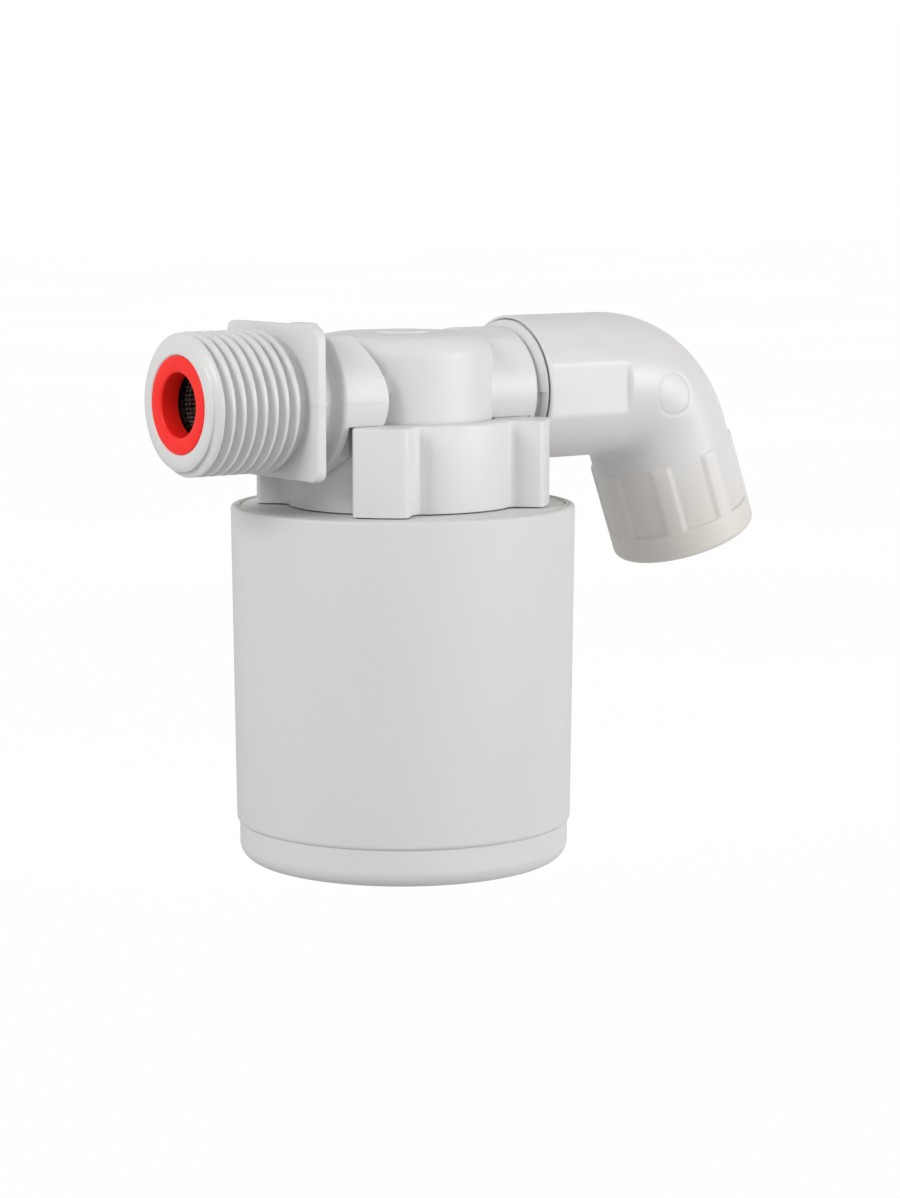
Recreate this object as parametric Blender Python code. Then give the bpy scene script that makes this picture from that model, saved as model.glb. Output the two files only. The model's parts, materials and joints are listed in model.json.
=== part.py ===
"""Side-inlet float valve for a small water tank.

A threaded inlet on the left leads into an upright drum. Inside the drum a piston rises against the
foot of a bent outlet tube and shuts it. The piston is steered by a pilot hole at the foot of the
housing's long stem: the float carries a rubber pad up against that hole when the tank is full.
A lobed union nut clamps the pilot housing under the body, and an elbow swivels on the outlet.

All numbers are millimetres and new_object() turns them into metres. +Z is up, the inlet faces -X,
the outlet faces +X, and the origin is the centre of the float's flat underside.
"""

import math

import bmesh
import bpy
from mathutils import Matrix, Vector

MM = 0.001
GAP = 0.3                       # clearance between pieces that touch or nest
SEGMENTS = 24                   # sides of a round piece
DRUM_SEGMENTS = 32
FLOAT_SEGMENTS = 36
SMALL_SEGMENTS = 12             # sides of a small round piece
SMOOTH_ANGLE = 30.0             # degrees: flatter edges than this are shaded smooth

# Heights of the stack, from the float's underside up
FLOAT_STEP_Z = 5.45             # top of the base cap's visible band
FLOAT_TOP_Z = 54.0
NUT_BOTTOM_Z = 54.35
NUT_TOP_Z = 67.0
AXIS_Z = 70.6                   # inlet and outlet axis
DRUM_TOP_Z = 79.8

# Float
FLOAT_TOP_R = 26.0
FLOAT_FOOT_R = 25.42            # the barrel tapers towards its foot for moulding
FLOAT_BORE_R = 23.6
BASE_R = 25.0
BASE_EDGE_R = 2.4
BASE_WALL = 1.7
BASE_PLUG_Z = 8.6
LID_R = 24.6
LID_THICKNESS = 1.8
LID_HOLE_R = 7.2
WELL_BORE_R = 10.0
WELL_WALL = 1.2
WELL_FLOOR_Z = 33.2
FLOAT_TRAVEL = 6.0

# Valve body
DRUM_R = 13.5
DRUM_EDGE_R = 3.5
DRUM_CAVITY_R = 11.4
DRUM_CAVITY_TOP_Z = 77.9
CLAMP_FLANGE_R = 15.1
CLAMP_FLANGE_Z = (62.9, 64.7)
SEAT_Z = 65.1                   # foot of the outlet tube, where the washer closes
SEAT_TUBE_R = 5.6
SEAT_BORE_R = 4.0
SEAT_BEND_R = 4.6
PASSAGE_Z = 72.8                # the waterways cross the nut's lip above the inlet axis
NUT_CLEARANCE_R = 17.9
NUT_CLEARANCE_Z = 67.3
LOBE_ROOM_X = (-17.6, 17.4)     # the collars' lower flanks are relieved for the nut's lobes
LOBE_ROOM_Y = 8.5

# Inlet: G 1/2 pipe thread
INLET_FACE_X = -39.76
INLET_NOSE_R = 8.9
THREAD_CREST_R = 20.955 / 2
THREAD_ROOT_R = 18.631 / 2
THREAD_PITCH = 25.4 / 14
THREAD_FLANK = 0.604            # axial run of one 55 degree flank
THREAD_CREST_FLAT = 0.303
THREAD_FIRST_CREST_X = -38.59
THREAD_CRESTS = 8
INLET_BORE_R = 5.0
INLET_BORE_END_X = -20.8
INLET_PASSAGE_R = 3.6
RING_SEAT_R = 7.3
RING_SEAT_X = -35.3
PLATE_X = (-23.7, -22.0)
PLATE_HALF_Y = 11.9
PLATE_HALF_Z = 11.3
PLATE_CORNER_R = 1.6
PLATE_GROOVE = (9.8, 10.9, 0.3)  # relief round the thread: inner and outer radius, depth
PLATE_LUG_Y = (-10.0, -5.0)     # raised stretch of the plate's top edge
PLATE_LUG_TOP_Z = 82.25
COLLAR_R = 11.7
COLLAR_FRONT_X = -18.6
COLLAR_BACK_X = -9.0
COLLAR_SWEEP_R = 16.0           # the collar's back follows a cylinder of this radius round the drum
COLLAR_EDGE = 0.9
COLLAR_TOP_Z = 80.05            # the collar's top is flat, level with the drum
BRIDGE_X = (-17.0, -8.0)        # web that carries the flat top on to the drum
BRIDGE_Y = 6.4
BRIDGE_TOP_Z = 79.95
NECK_R = 9.0                    # core between the collar and the drum

# Outlet
OUTLET_COLLAR_R = 9.6
OUTLET_COLLAR_X = 9.5
SHOULDER_X = 18.5
SHOULDER_R = 9.43
SPIGOT_R = 8.6
SPIGOT_END_X = 31.3
SPIGOT_BORE_R = 6.5
SPIGOT_BORE_X = 19.2
ORING_GROOVE_X = (24.5, 26.4)
ORING_GROOVE_R = 7.3
CLIP_GROOVE_X = (28.6, 30.0)
CLIP_GROOVE_R = 7.6

# Elbow, measured along its centre line from the mouth
ELBOW_MOUTH_X = 19.83
ELBOW_STRAIGHT = 17.77
ELBOW_BEND_R = 13.2
ELBOW_BEND = math.radians(70.0)
ELBOW_BEND_STEPS = 6
ELBOW_R = 11.16
ELBOW_MOUTH_R = 10.5
ELBOW_MOUTH_STEP = 0.5          # depth of the step inside the mouth's rim
ELBOW_SOCKET_R = 9.0
ELBOW_SOCKET_DEPTH = 12.0
ELBOW_WATERWAY_R = 8.2
TAIL_COLLAR_START = 3.0         # after the bend
TAIL_LENGTH = 17.8
TAIL_R = 11.55
TAIL_SOCKET_R = 10.1            # takes a 20 mm pipe
TAIL_SOCKET_DEPTH = 13.0
TAIL_EDGE = 0.8

# Union nut
NUT_LOBES = 4
NUT_TURN = math.radians(45.5)
NUT_LOBE_R = 22.1
NUT_ROOT_R = 17.5
NUT_LOBE_HALF_WIDTH = 4.15
NUT_BORE_R = 15.4
NUT_LIP_R = 13.8
NUT_LIP_Z = 65.0
NUT_CORNER_R = 0.7
NUT_FILLET_R = 2.0

# Pilot housing and its stem
HOUSING_R = 15.1
HOUSING_TOP_Z = 62.6
HOUSING_UNDERSIDE_Z = 54.4
CYLINDER_R = 11.0
CYLINDER_FLOOR_Z = 55.9
HOUSING_GROOVE = (12.3, 13.9, 61.4)
STEM_R = 6.8
STEM_END_Z = 38.0
STEM_GROOVE = (6.0, 44.3, 46.2)
PILOT_PASSAGE_R = 1.6
NOZZLE_SEAT = (2.9, 42.0)
NOZZLE_TIP_Z = 37.5
KEY_HALF_WIDTH = 0.8            # rib on the stem that keeps the float from turning
KEY_R = 7.9
STOP_RING_R = 9.0

# Piston
PISTON_R = 10.7
PISTON_FOOT_Z = 59.0
PISTON_TOP_Z = 63.6
PISTON_FLOOR_Z = 62.7
PISTON_HUB_R = 3.3
PISTON_POCKET_R = 6.9
PISTON_POCKET_Z = 61.7
PISTON_GROOVE = (9.9, 60.3, 61.5)
WASHER_R = 7.0
SCREW_R = 1.2
BLEED_AT = 8.3                  # distance of the bleed hole from the piston's axis
BLEED_HOLE_R = 0.65
BLEED_PIN_R = 0.35
SPRING_R = 5.1
SPRING_WIRE_R = 0.25
SPRING_TURNS = 3


# ---------------------------------------------------------------- mesh helpers

def circle(radius, height, sides, phase=0.0):
    """Ring of points about Z, or the single point on the axis when the radius is 0."""
    if radius == 0:
        return [Vector((0, 0, height))]
    turns = [2 * math.pi * (k + phase) / sides for k in range(sides)]
    return [Vector((radius * math.cos(t), radius * math.sin(t), height)) for t in turns]


def skin(rings):
    """Closed mesh through a loop of rings of points; a ring of one point is a pole."""
    bm = bmesh.new()
    loops = [[bm.verts.new(point) for point in ring] for ring in rings]
    sides = max(len(loop) for loop in loops)
    for near, far in zip(loops, loops[1:] + loops[:1]):
        for k in range(sides):
            corners = [near[k % len(near)], near[(k + 1) % len(near)],
                       far[(k + 1) % len(far)], far[k % len(far)]]
            corners = list(dict.fromkeys(corners))
            if len(corners) > 2:
                bm.faces.new(corners)
    bmesh.ops.recalc_face_normals(bm, faces=bm.faces)
    return bm


def turned(outline, sides=SEGMENTS, phase=0.0):
    """Solid of revolution about Z from a closed outline of (radius, height) points.

    phase turns the sides by a part of one side, so that two shapes that are joined on one axis
    don't meet corner to corner.
    """
    return skin([circle(radius, height, sides, phase) for radius, height in outline])


def strip(sections):
    """Closed mesh through a row of equal sections, with a cap on each end."""
    bm = bmesh.new()
    loops = [[bm.verts.new(point) for point in section] for section in sections]
    for near, far in zip(loops, loops[1:]):
        for k in range(len(near)):
            after = (k + 1) % len(near)
            bm.faces.new((near[k], near[after], far[after], far[k]))
    bm.faces.new(loops[0])
    bm.faces.new(loops[-1])
    bmesh.ops.recalc_face_normals(bm, faces=bm.faces)
    return bm


def split_ring(inner, outer, bottom, top, opening):
    """Flat ring about Z with an opening, in degrees, centred on -X."""
    half = math.radians(opening) / 2
    sections = []
    for k in range(SEGMENTS + 1):
        turn = math.pi + half + (2 * math.pi - 2 * half) * k / SEGMENTS
        out = Vector((math.cos(turn), math.sin(turn), 0))
        corners = ((inner, bottom), (outer, bottom), (outer, top), (inner, top))
        sections.append([out * radius + Vector((0, 0, height)) for radius, height in corners])
    return strip(sections)


def torus(ring_radius, tube_radius, height):
    """O-ring about Z."""
    section = 8
    turns = [2 * math.pi * k / section for k in range(section)]
    outline = [(ring_radius + tube_radius * math.cos(t), height + tube_radius * math.sin(t))
               for t in turns]
    return turned(outline)


def arc(centre, radius, start, end, steps):
    """Points on an arc in a plane, angles in degrees, both ends included."""
    turns = [math.radians(start + (end - start) * k / steps) for k in range(steps + 1)]
    return [(centre[0] + radius * math.cos(t), centre[1] + radius * math.sin(t)) for t in turns]


def rounded_corner(before, corner, after, radius, steps):
    """Arc that replaces a corner of a flat outline."""
    before, corner, after = Vector(before), Vector(corner), Vector(after)
    back = (before - corner).normalized()
    ahead = (after - corner).normalized()
    half = back.angle(ahead) / 2
    reach = radius / math.tan(half)
    centre = corner + (back + ahead).normalized() * (radius / math.sin(half))
    start = corner + back * reach - centre
    end = corner + ahead * reach - centre
    sweep = start.angle_signed(end)
    points = []
    for k in range(steps + 1):
        turn = Matrix.Rotation(-sweep * k / steps, 2)
        points.append(tuple(centre + turn @ start))
    return points


def box_outline(lowest, highest):
    """Rectangle between two corners, as an outline."""
    (x0, y0), (x1, y1) = lowest, highest
    return [(x0, y0), (x1, y0), (x1, y1), (x0, y1)]


def prism(outline, low, high):
    """Flat outline in X and Y, raised from low to high along Z."""
    return strip([[Vector((x, y, height)) for x, y in outline] for height in (low, high)])


# -------------------------------------------------------------- object helpers

def plastic(name, colour, roughness, metallic=0.0):
    material = bpy.data.materials.new(name)
    material.use_nodes = True
    shader = material.node_tree.nodes["Principled BSDF"]
    shader.inputs["Base Color"].default_value = (*colour, 1.0)
    shader.inputs["Roughness"].default_value = roughness
    shader.inputs["Metallic"].default_value = metallic
    return material


def new_object(name, bm, place=(0, 0, 0), along_x=False):
    """Object from a mesh in millimetres; along_x lays its own Z axis along +X."""
    bmesh.ops.scale(bm, vec=(MM, MM, MM), verts=bm.verts)
    mesh = bpy.data.meshes.new(name)
    bm.to_mesh(mesh)
    bm.free()
    mesh.shade_smooth()
    mesh.set_sharp_from_angle(angle=math.radians(SMOOTH_ANGLE))
    piece = bpy.data.objects.new(name, mesh)
    bpy.context.collection.objects.link(piece)
    piece.location = Vector(place) * MM
    if along_x:
        piece.rotation_euler = (0, math.pi / 2, 0)
    return piece


def finish(piece, material, parent=None):
    """Give a piece its material and hang it on its joint's empty."""
    piece.data.materials.append(material)
    if parent:
        piece.parent = parent
        piece.location = piece.location - parent.location
    return piece


def shape(target, bm, operation, place=(0, 0, 0), along_x=False):
    """Add a solid to the target or cut it out; returns the hidden helper."""
    number = len(target.modifiers) + 1
    helper = new_object(f"{target.name}_helper_{number}", bm, place, along_x)
    helper.hide_render = True
    helper.display_type = 'WIRE'
    step = target.modifiers.new(f"{operation.lower()}_{number}", 'BOOLEAN')
    step.operation = operation
    step.solver = 'EXACT'
    step.object = helper
    return helper


def joint_empty(name, place):
    empty = bpy.data.objects.new(name, None)
    bpy.context.collection.objects.link(empty)
    empty.location = Vector(place) * MM
    return empty


# ------------------------------------------------------------------ valve body

def thread_outline():
    """(radius, x) points down the inlet thread, ring-shaped ridges at the thread's pitch."""
    points = []
    for ridge in range(THREAD_CRESTS):
        middle = THREAD_FIRST_CREST_X + ridge * THREAD_PITCH
        crest = THREAD_CREST_FLAT / 2
        root = crest + THREAD_FLANK
        points += [(THREAD_ROOT_R, middle - root), (THREAD_CREST_R, middle - crest),
                   (THREAD_CREST_R, middle + crest), (THREAD_ROOT_R, middle + root)]
    return points


def seat_tube(radius, foot, end_x):
    """Bent solid rod from the valve seat up and round to the outlet."""
    centre = (SEAT_BEND_R, PASSAGE_Z - SEAT_BEND_R)
    stations = [(0, foot, 0.0)]
    steps = 6
    for k in range(steps + 1):
        turn = math.pi / 2 * k / steps
        stations.append((centre[0] - SEAT_BEND_R * math.cos(turn),
                         centre[1] + SEAT_BEND_R * math.sin(turn), turn))
    stations.append((end_x, PASSAGE_Z, math.pi / 2))
    sections = []
    for x, z, turn in stations:
        tilt = Matrix.Rotation(turn, 3, 'Y')
        sections.append([tilt @ point + Vector((x, 0, z)) for point in circle(radius, 0, SEGMENTS)])
    return strip(sections)


def cut_lobe_room(collar, start_x, end_x):
    """Cut the flanks of a collar away beside the nut's lobes."""
    for inner in (LOBE_ROOM_Y, -LOBE_ROOM_Y):
        outer = inner + math.copysign(5, inner)
        room = box_outline((start_x, inner), (end_x, outer))
        shape(collar, prism(room, 40, NUT_CLEARANCE_Z), 'DIFFERENCE')


def make_valve_body(material):
    low, high = CLAMP_FLANGE_Z
    drum = [(0, DRUM_TOP_Z)]
    drum += arc((DRUM_R - DRUM_EDGE_R, DRUM_TOP_Z - DRUM_EDGE_R), DRUM_EDGE_R, 90, 0, 4)
    drum += [(DRUM_R, high), (CLAMP_FLANGE_R, high), (CLAMP_FLANGE_R, low), (0, low)]
    body = new_object("valve_body", turned(drum, DRUM_SEGMENTS))
    on_axis = {"place": (0, 0, AXIS_Z), "along_x": True}

    spigot = [(0, INLET_FACE_X), (INLET_NOSE_R, INLET_FACE_X)] + thread_outline()
    spigot += [(THREAD_ROOT_R, COLLAR_FRONT_X), (COLLAR_R - COLLAR_EDGE, COLLAR_FRONT_X),
               (COLLAR_R, COLLAR_FRONT_X + COLLAR_EDGE), (COLLAR_R, COLLAR_BACK_X),
               (0, COLLAR_BACK_X)]
    spigot_piece = shape(body, turned(spigot), 'UNION', **on_axis)
    sweep = [(0, 40), (0, 100), (COLLAR_SWEEP_R, 100), (COLLAR_SWEEP_R, NUT_CLEARANCE_Z),
             (NUT_CLEARANCE_R, NUT_CLEARANCE_Z), (NUT_CLEARANCE_R, 40)]
    shape(spigot_piece, turned(sweep, 48, 0.5), 'DIFFERENCE')
    cut_lobe_room(spigot_piece, LOBE_ROOM_X[0], COLLAR_BACK_X + 1)
    above = box_outline((COLLAR_FRONT_X - 1, -PLATE_HALF_Y - 1), (COLLAR_BACK_X + 1, PLATE_HALF_Y + 1))
    shape(spigot_piece, prism(above, COLLAR_TOP_Z, COLLAR_TOP_Z + 5), 'DIFFERENCE')
    nut_room = [(0, 40), (0, NUT_CLEARANCE_Z), (NUT_CLEARANCE_R, NUT_CLEARANCE_Z),
                (NUT_CLEARANCE_R, 40)]
    neck = [(0, COLLAR_FRONT_X - 1), (NECK_R, COLLAR_FRONT_X - 1), (NECK_R, -6.0), (0, -6.0)]
    neck_piece = shape(body, turned(neck, SEGMENTS, 0.5), 'UNION', **on_axis)
    shape(neck_piece, turned(nut_room, 48, 0.25), 'DIFFERENCE')
    bridge = box_outline((BRIDGE_X[0], -BRIDGE_Y), (BRIDGE_X[1], BRIDGE_Y))
    shape(body, prism(bridge, AXIS_Z, BRIDGE_TOP_Z), 'UNION')

    corners = [(PLATE_HALF_Z, PLATE_HALF_Y), (-PLATE_HALF_Z, PLATE_HALF_Y),
               (-PLATE_HALF_Z, -PLATE_HALF_Y), (PLATE_HALF_Z, -PLATE_HALF_Y)]
    plate = []
    for k, corner in enumerate(corners):
        plate += rounded_corner(corners[k - 1], corner, corners[(k + 1) % 4], PLATE_CORNER_R, 3)
    shape(body, prism(plate, *PLATE_X), 'UNION', **on_axis)
    lug = box_outline((PLATE_X[0] + 0.1, PLATE_LUG_Y[0]), (PLATE_X[1] - 0.1, PLATE_LUG_Y[1]))
    shape(body, prism(lug, AXIS_Z + PLATE_HALF_Z - 1, PLATE_LUG_TOP_Z), 'UNION')
    groove_in, groove_out, groove_depth = PLATE_GROOVE
    relief = [(groove_in, PLATE_X[0] - 0.5), (groove_out, PLATE_X[0] - 0.5),
              (groove_out, PLATE_X[0] + groove_depth), (groove_in, PLATE_X[0] + groove_depth)]
    shape(body, turned(relief, SEGMENTS, 0.5), 'DIFFERENCE', **on_axis)

    outlet = [(0, OUTLET_COLLAR_X), (OUTLET_COLLAR_R, OUTLET_COLLAR_X),
              (OUTLET_COLLAR_R, SHOULDER_X - 0.4), (SHOULDER_R, SHOULDER_X), (SPIGOT_R, SHOULDER_X)]
    for radius, (start, end) in ((ORING_GROOVE_R, ORING_GROOVE_X), (CLIP_GROOVE_R, CLIP_GROOVE_X)):
        outlet += [(SPIGOT_R, start), (radius, start), (radius, end), (SPIGOT_R, end)]
    outlet += [(SPIGOT_R, SPIGOT_END_X), (0, SPIGOT_END_X)]
    outlet_piece = shape(body, turned(outlet), 'UNION', **on_axis)
    shape(outlet_piece, turned(nut_room, 48, 0.25), 'DIFFERENCE')
    cut_lobe_room(outlet_piece, 5.0, LOBE_ROOM_X[1])

    cavity = [(0, low - 5), (0, DRUM_CAVITY_TOP_Z), (DRUM_CAVITY_R, DRUM_CAVITY_TOP_Z),
              (DRUM_CAVITY_R, low - 5)]
    shape(body, turned(cavity, DRUM_SEGMENTS, 0.5), 'DIFFERENCE')
    shape(body, seat_tube(SEAT_TUBE_R, SEAT_Z, DRUM_R - 1), 'UNION')
    shape(body, seat_tube(SEAT_BORE_R, SEAT_Z - 3, SPIGOT_BORE_X + 1.3), 'DIFFERENCE')

    waterway = [(0, SPIGOT_BORE_X), (SPIGOT_BORE_R, SPIGOT_BORE_X),
                (SPIGOT_BORE_R, SPIGOT_END_X + 1), (0, SPIGOT_END_X + 1)]
    shape(body, turned(waterway, SEGMENTS, 0.5), 'DIFFERENCE', **on_axis)
    inlet = [(0, INLET_FACE_X - 1), (RING_SEAT_R, INLET_FACE_X - 1), (RING_SEAT_R, RING_SEAT_X),
             (INLET_BORE_R, RING_SEAT_X), (INLET_BORE_R, INLET_BORE_END_X),
             (0, INLET_BORE_END_X)]
    shape(body, turned(inlet, SEGMENTS, 0.5), 'DIFFERENCE', **on_axis)
    passage = [(0, INLET_BORE_END_X - 0.8), (INLET_PASSAGE_R, INLET_BORE_END_X - 0.8),
               (INLET_PASSAGE_R, 1 - DRUM_CAVITY_R), (0, 1 - DRUM_CAVITY_R)]
    shape(body, turned(passage, SEGMENTS, 0.25), 'DIFFERENCE', place=(0, 0, PASSAGE_Z),
          along_x=True)
    finish(body, material)


def make_inlet_filter(ring_material, screen_material):
    on_axis = {"place": (0, 0, AXIS_Z), "along_x": True}
    ring_r = RING_SEAT_R - GAP
    ring_bore_r = 4.78
    ring_back = INLET_FACE_X + 3.16
    ring = [(ring_bore_r, INLET_FACE_X), (ring_r, INLET_FACE_X), (ring_r, ring_back),
            (ring_bore_r, ring_back)]
    finish(new_object("filter_ring", turned(ring), **on_axis), ring_material)

    basket_r = INLET_BORE_R - 0.4
    basket_bore_r = basket_r - 0.5
    flange_x = (ring_back + GAP, RING_SEAT_X - GAP)
    end_x = (-25.0, -24.5)
    basket = [(basket_bore_r, flange_x[0]), (ring_r, flange_x[0]), (ring_r, flange_x[1]),
              (basket_r, flange_x[1]), (basket_r, end_x[1]), (0, end_x[1]), (0, end_x[0]),
              (basket_bore_r, end_x[0])]
    finish(new_object("filter_screen", turned(basket), **on_axis), screen_material)


# ------------------------------------------------------ union nut and housing

def nut_outline():
    """Lobes with parallel flanks round a barrel, as points in the nut's plane."""
    half = NUT_LOBE_HALF_WIDTH
    outer_turn = math.asin(half / NUT_LOBE_R)
    root_turn = math.asin(half / NUT_ROOT_R)
    quarter = 2 * math.pi / NUT_LOBES

    def at(radius, turn):
        return (radius * math.cos(turn), radius * math.sin(turn))

    points = []
    for lobe in range(NUT_LOBES):
        middle = NUT_TURN + lobe * quarter
        root_in, root_out = at(NUT_ROOT_R, middle - root_turn), at(NUT_ROOT_R, middle + root_turn)
        tip_in, tip_out = at(NUT_LOBE_R, middle - outer_turn), at(NUT_LOBE_R, middle + outer_turn)
        crown = at(NUT_LOBE_R, middle)
        valley_in = at(NUT_ROOT_R, middle - quarter / 2)
        valley_out = at(NUT_ROOT_R, middle + quarter / 2)
        points += rounded_corner(valley_in, root_in, tip_in, NUT_FILLET_R, 3)
        points += rounded_corner(root_in, tip_in, crown, NUT_CORNER_R, 2)
        points.append(crown)
        points += rounded_corner(crown, tip_out, root_out, NUT_CORNER_R, 2)
        points += rounded_corner(tip_out, root_out, valley_out, NUT_FILLET_R, 3)
        for part in range(1, 4):
            span = quarter - 2 * root_turn
            points.append(at(NUT_ROOT_R, middle + root_turn + span * part / 4))
    return points


def make_union_nut(material):
    outline = nut_outline()
    turns = [math.atan2(y, x) for x, y in outline]

    def loop(height, radius=None):
        if radius is None:
            return [Vector((x, y, height)) for x, y in outline]
        return [Vector((radius * math.cos(t), radius * math.sin(t), height)) for t in turns]

    rings = [loop(NUT_BOTTOM_Z), loop(NUT_TOP_Z), loop(NUT_TOP_Z, NUT_LIP_R),
             loop(NUT_LIP_Z, NUT_LIP_R), loop(NUT_LIP_Z, NUT_BORE_R),
             loop(NUT_BOTTOM_Z, NUT_BORE_R)]
    finish(new_object("union_nut", skin(rings)), material)


def make_pilot_housing(material):
    groove_in, groove_out, groove_z = HOUSING_GROOVE
    stem_groove_r, stem_groove_low, stem_groove_high = STEM_GROOVE
    nozzle_r, nozzle_z = NOZZLE_SEAT
    outline = [(PILOT_PASSAGE_R, CYLINDER_FLOOR_Z), (CYLINDER_R, CYLINDER_FLOOR_Z),
               (CYLINDER_R, HOUSING_TOP_Z), (groove_in, HOUSING_TOP_Z), (groove_in, groove_z),
               (groove_out, groove_z), (groove_out, HOUSING_TOP_Z), (HOUSING_R, HOUSING_TOP_Z),
               (HOUSING_R, HOUSING_UNDERSIDE_Z), (STEM_R, HOUSING_UNDERSIDE_Z),
               (STEM_R, stem_groove_high), (stem_groove_r, stem_groove_high),
               (stem_groove_r, stem_groove_low), (STEM_R, stem_groove_low), (STEM_R, STEM_END_Z),
               (nozzle_r, STEM_END_Z), (nozzle_r, nozzle_z), (PILOT_PASSAGE_R, nozzle_z)]
    housing = new_object("pilot_housing", turned(outline))
    rib = [(STEM_R - 1, -KEY_HALF_WIDTH), (KEY_R, -KEY_HALF_WIDTH),
           (KEY_R, KEY_HALF_WIDTH), (STEM_R - 1, KEY_HALF_WIDTH)]
    shape(housing, prism(rib, stem_groove_high + 0.2, HOUSING_UNDERSIDE_Z + 0.5), 'UNION')
    pin_hole = [(0, CYLINDER_FLOOR_Z - 1.0), (BLEED_HOLE_R, CYLINDER_FLOOR_Z - 1.0),
                (BLEED_HOLE_R, CYLINDER_FLOOR_Z + 1.0), (0, CYLINDER_FLOOR_Z + 1.0)]
    shape(housing, turned(pin_hole, SMALL_SEGMENTS), 'DIFFERENCE', place=(0, BLEED_AT, 0))
    finish(housing, material)


def make_housing_fittings(rubber, steel, brass, plain):
    groove_in, groove_out, groove_z = HOUSING_GROOVE
    tube_r = (groove_out - groove_in) / 2 - GAP
    middle_r = (groove_in + groove_out) / 2
    finish(new_object("housing_oring", torus(middle_r, tube_r, groove_z + GAP + tube_r)), rubber)

    nozzle_r, nozzle_z = NOZZLE_SEAT
    nozzle = [(0.7, NOZZLE_TIP_Z), (1.4, NOZZLE_TIP_Z), (nozzle_r - GAP, STEM_END_Z + 0.6),
              (nozzle_r - GAP, nozzle_z - GAP), (0.7, nozzle_z - GAP)]
    finish(new_object("pilot_nozzle", turned(nozzle, SMALL_SEGMENTS)), brass)

    pin_low, pin_high = CYLINDER_FLOOR_Z - 1.0 + GAP, PISTON_TOP_Z + 0.6
    pin = [(0, pin_low), (BLEED_PIN_R, pin_low), (BLEED_PIN_R, pin_high), (0, pin_high)]
    finish(new_object("bleed_pin", turned(pin, 12), place=(0, BLEED_AT, 0)), steel)

    stem_groove_r, low, high = STEM_GROOVE
    stop = split_ring(stem_groove_r + GAP, STOP_RING_R, low + GAP, high - GAP, 50)
    finish(new_object("float_stop_ring", stop), plain)


# ---------------------------------------------------------------------- piston

def make_piston(parent, plain, rubber, steel):
    groove_r, groove_low, groove_high = PISTON_GROOVE
    hole_r = SCREW_R + GAP
    outline = [(hole_r, PISTON_FOOT_Z), (PISTON_HUB_R, PISTON_FOOT_Z),
               (PISTON_HUB_R, PISTON_POCKET_Z), (PISTON_POCKET_R, PISTON_POCKET_Z),
               (PISTON_POCKET_R, PISTON_FOOT_Z), (PISTON_R, PISTON_FOOT_Z),
               (PISTON_R, groove_low), (groove_r, groove_low), (groove_r, groove_high),
               (PISTON_R, groove_high), (PISTON_R, PISTON_TOP_Z - 1.0),
               (PISTON_R - 1.0, PISTON_TOP_Z), (WASHER_R + GAP, PISTON_TOP_Z),
               (WASHER_R + GAP, PISTON_FLOOR_Z), (hole_r, PISTON_FLOOR_Z)]
    piston = new_object("main_piston", turned(outline))
    bleed = [(0, PISTON_FOOT_Z - 1), (BLEED_HOLE_R, PISTON_FOOT_Z - 1),
             (BLEED_HOLE_R, PISTON_TOP_Z + 1), (0, PISTON_TOP_Z + 1)]
    shape(piston, turned(bleed, SMALL_SEGMENTS), 'DIFFERENCE', place=(0, BLEED_AT, 0))
    finish(piston, plain, parent)

    seal_r = CYLINDER_R - 0.15
    seal = [(groove_r + GAP, groove_low + GAP), (seal_r, groove_low + GAP),
            (seal_r, groove_high - GAP), (groove_r + GAP, groove_high - GAP)]
    finish(new_object("piston_seal", turned(seal)), rubber, parent)

    washer_z = (PISTON_FLOOR_Z + GAP, SEAT_Z - GAP)
    washer = [(SCREW_R + 0.4, washer_z[0]), (WASHER_R, washer_z[0]), (WASHER_R, washer_z[1]),
              (SCREW_R + 0.4, washer_z[1])]
    finish(new_object("seat_washer", turned(washer)), rubber, parent)

    head_z = washer_z[1] + GAP
    screw = [(0, PISTON_FOOT_Z + GAP), (SCREW_R, PISTON_FOOT_Z + GAP), (SCREW_R, head_z),
             (3.2, head_z), (3.2, head_z + 0.7), (2.4, head_z + 1.3), (0, head_z + 1.3)]
    finish(new_object("washer_screw", turned(screw, SMALL_SEGMENTS)), steel, parent)


def make_piston_spring(steel):
    """Compression spring between the cylinder floor and the pocket in the piston."""
    low = CYLINDER_FLOOR_Z + GAP + SPRING_WIRE_R
    high = PISTON_POCKET_Z - GAP - SPRING_WIRE_R
    per_turn = 12
    count = SPRING_TURNS * per_turn
    slope = math.atan2((high - low) / SPRING_TURNS, 2 * math.pi * SPRING_R)
    sections = []
    for k in range(count + 1):
        turn = 2 * math.pi * k / per_turn
        centre = Vector((SPRING_R * math.cos(turn), SPRING_R * math.sin(turn),
                         low + (high - low) * k / count))
        out = Vector((math.cos(turn), math.sin(turn), 0))
        up = Vector((math.sin(turn) * math.sin(slope), -math.cos(turn) * math.sin(slope),
                     math.cos(slope)))
        sections.append([centre + point.x * out + point.y * up
                         for point in circle(SPRING_WIRE_R, 0, 5)])
    finish(new_object("piston_spring", strip(sections)), steel)


# ----------------------------------------------------------------------- float

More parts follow.
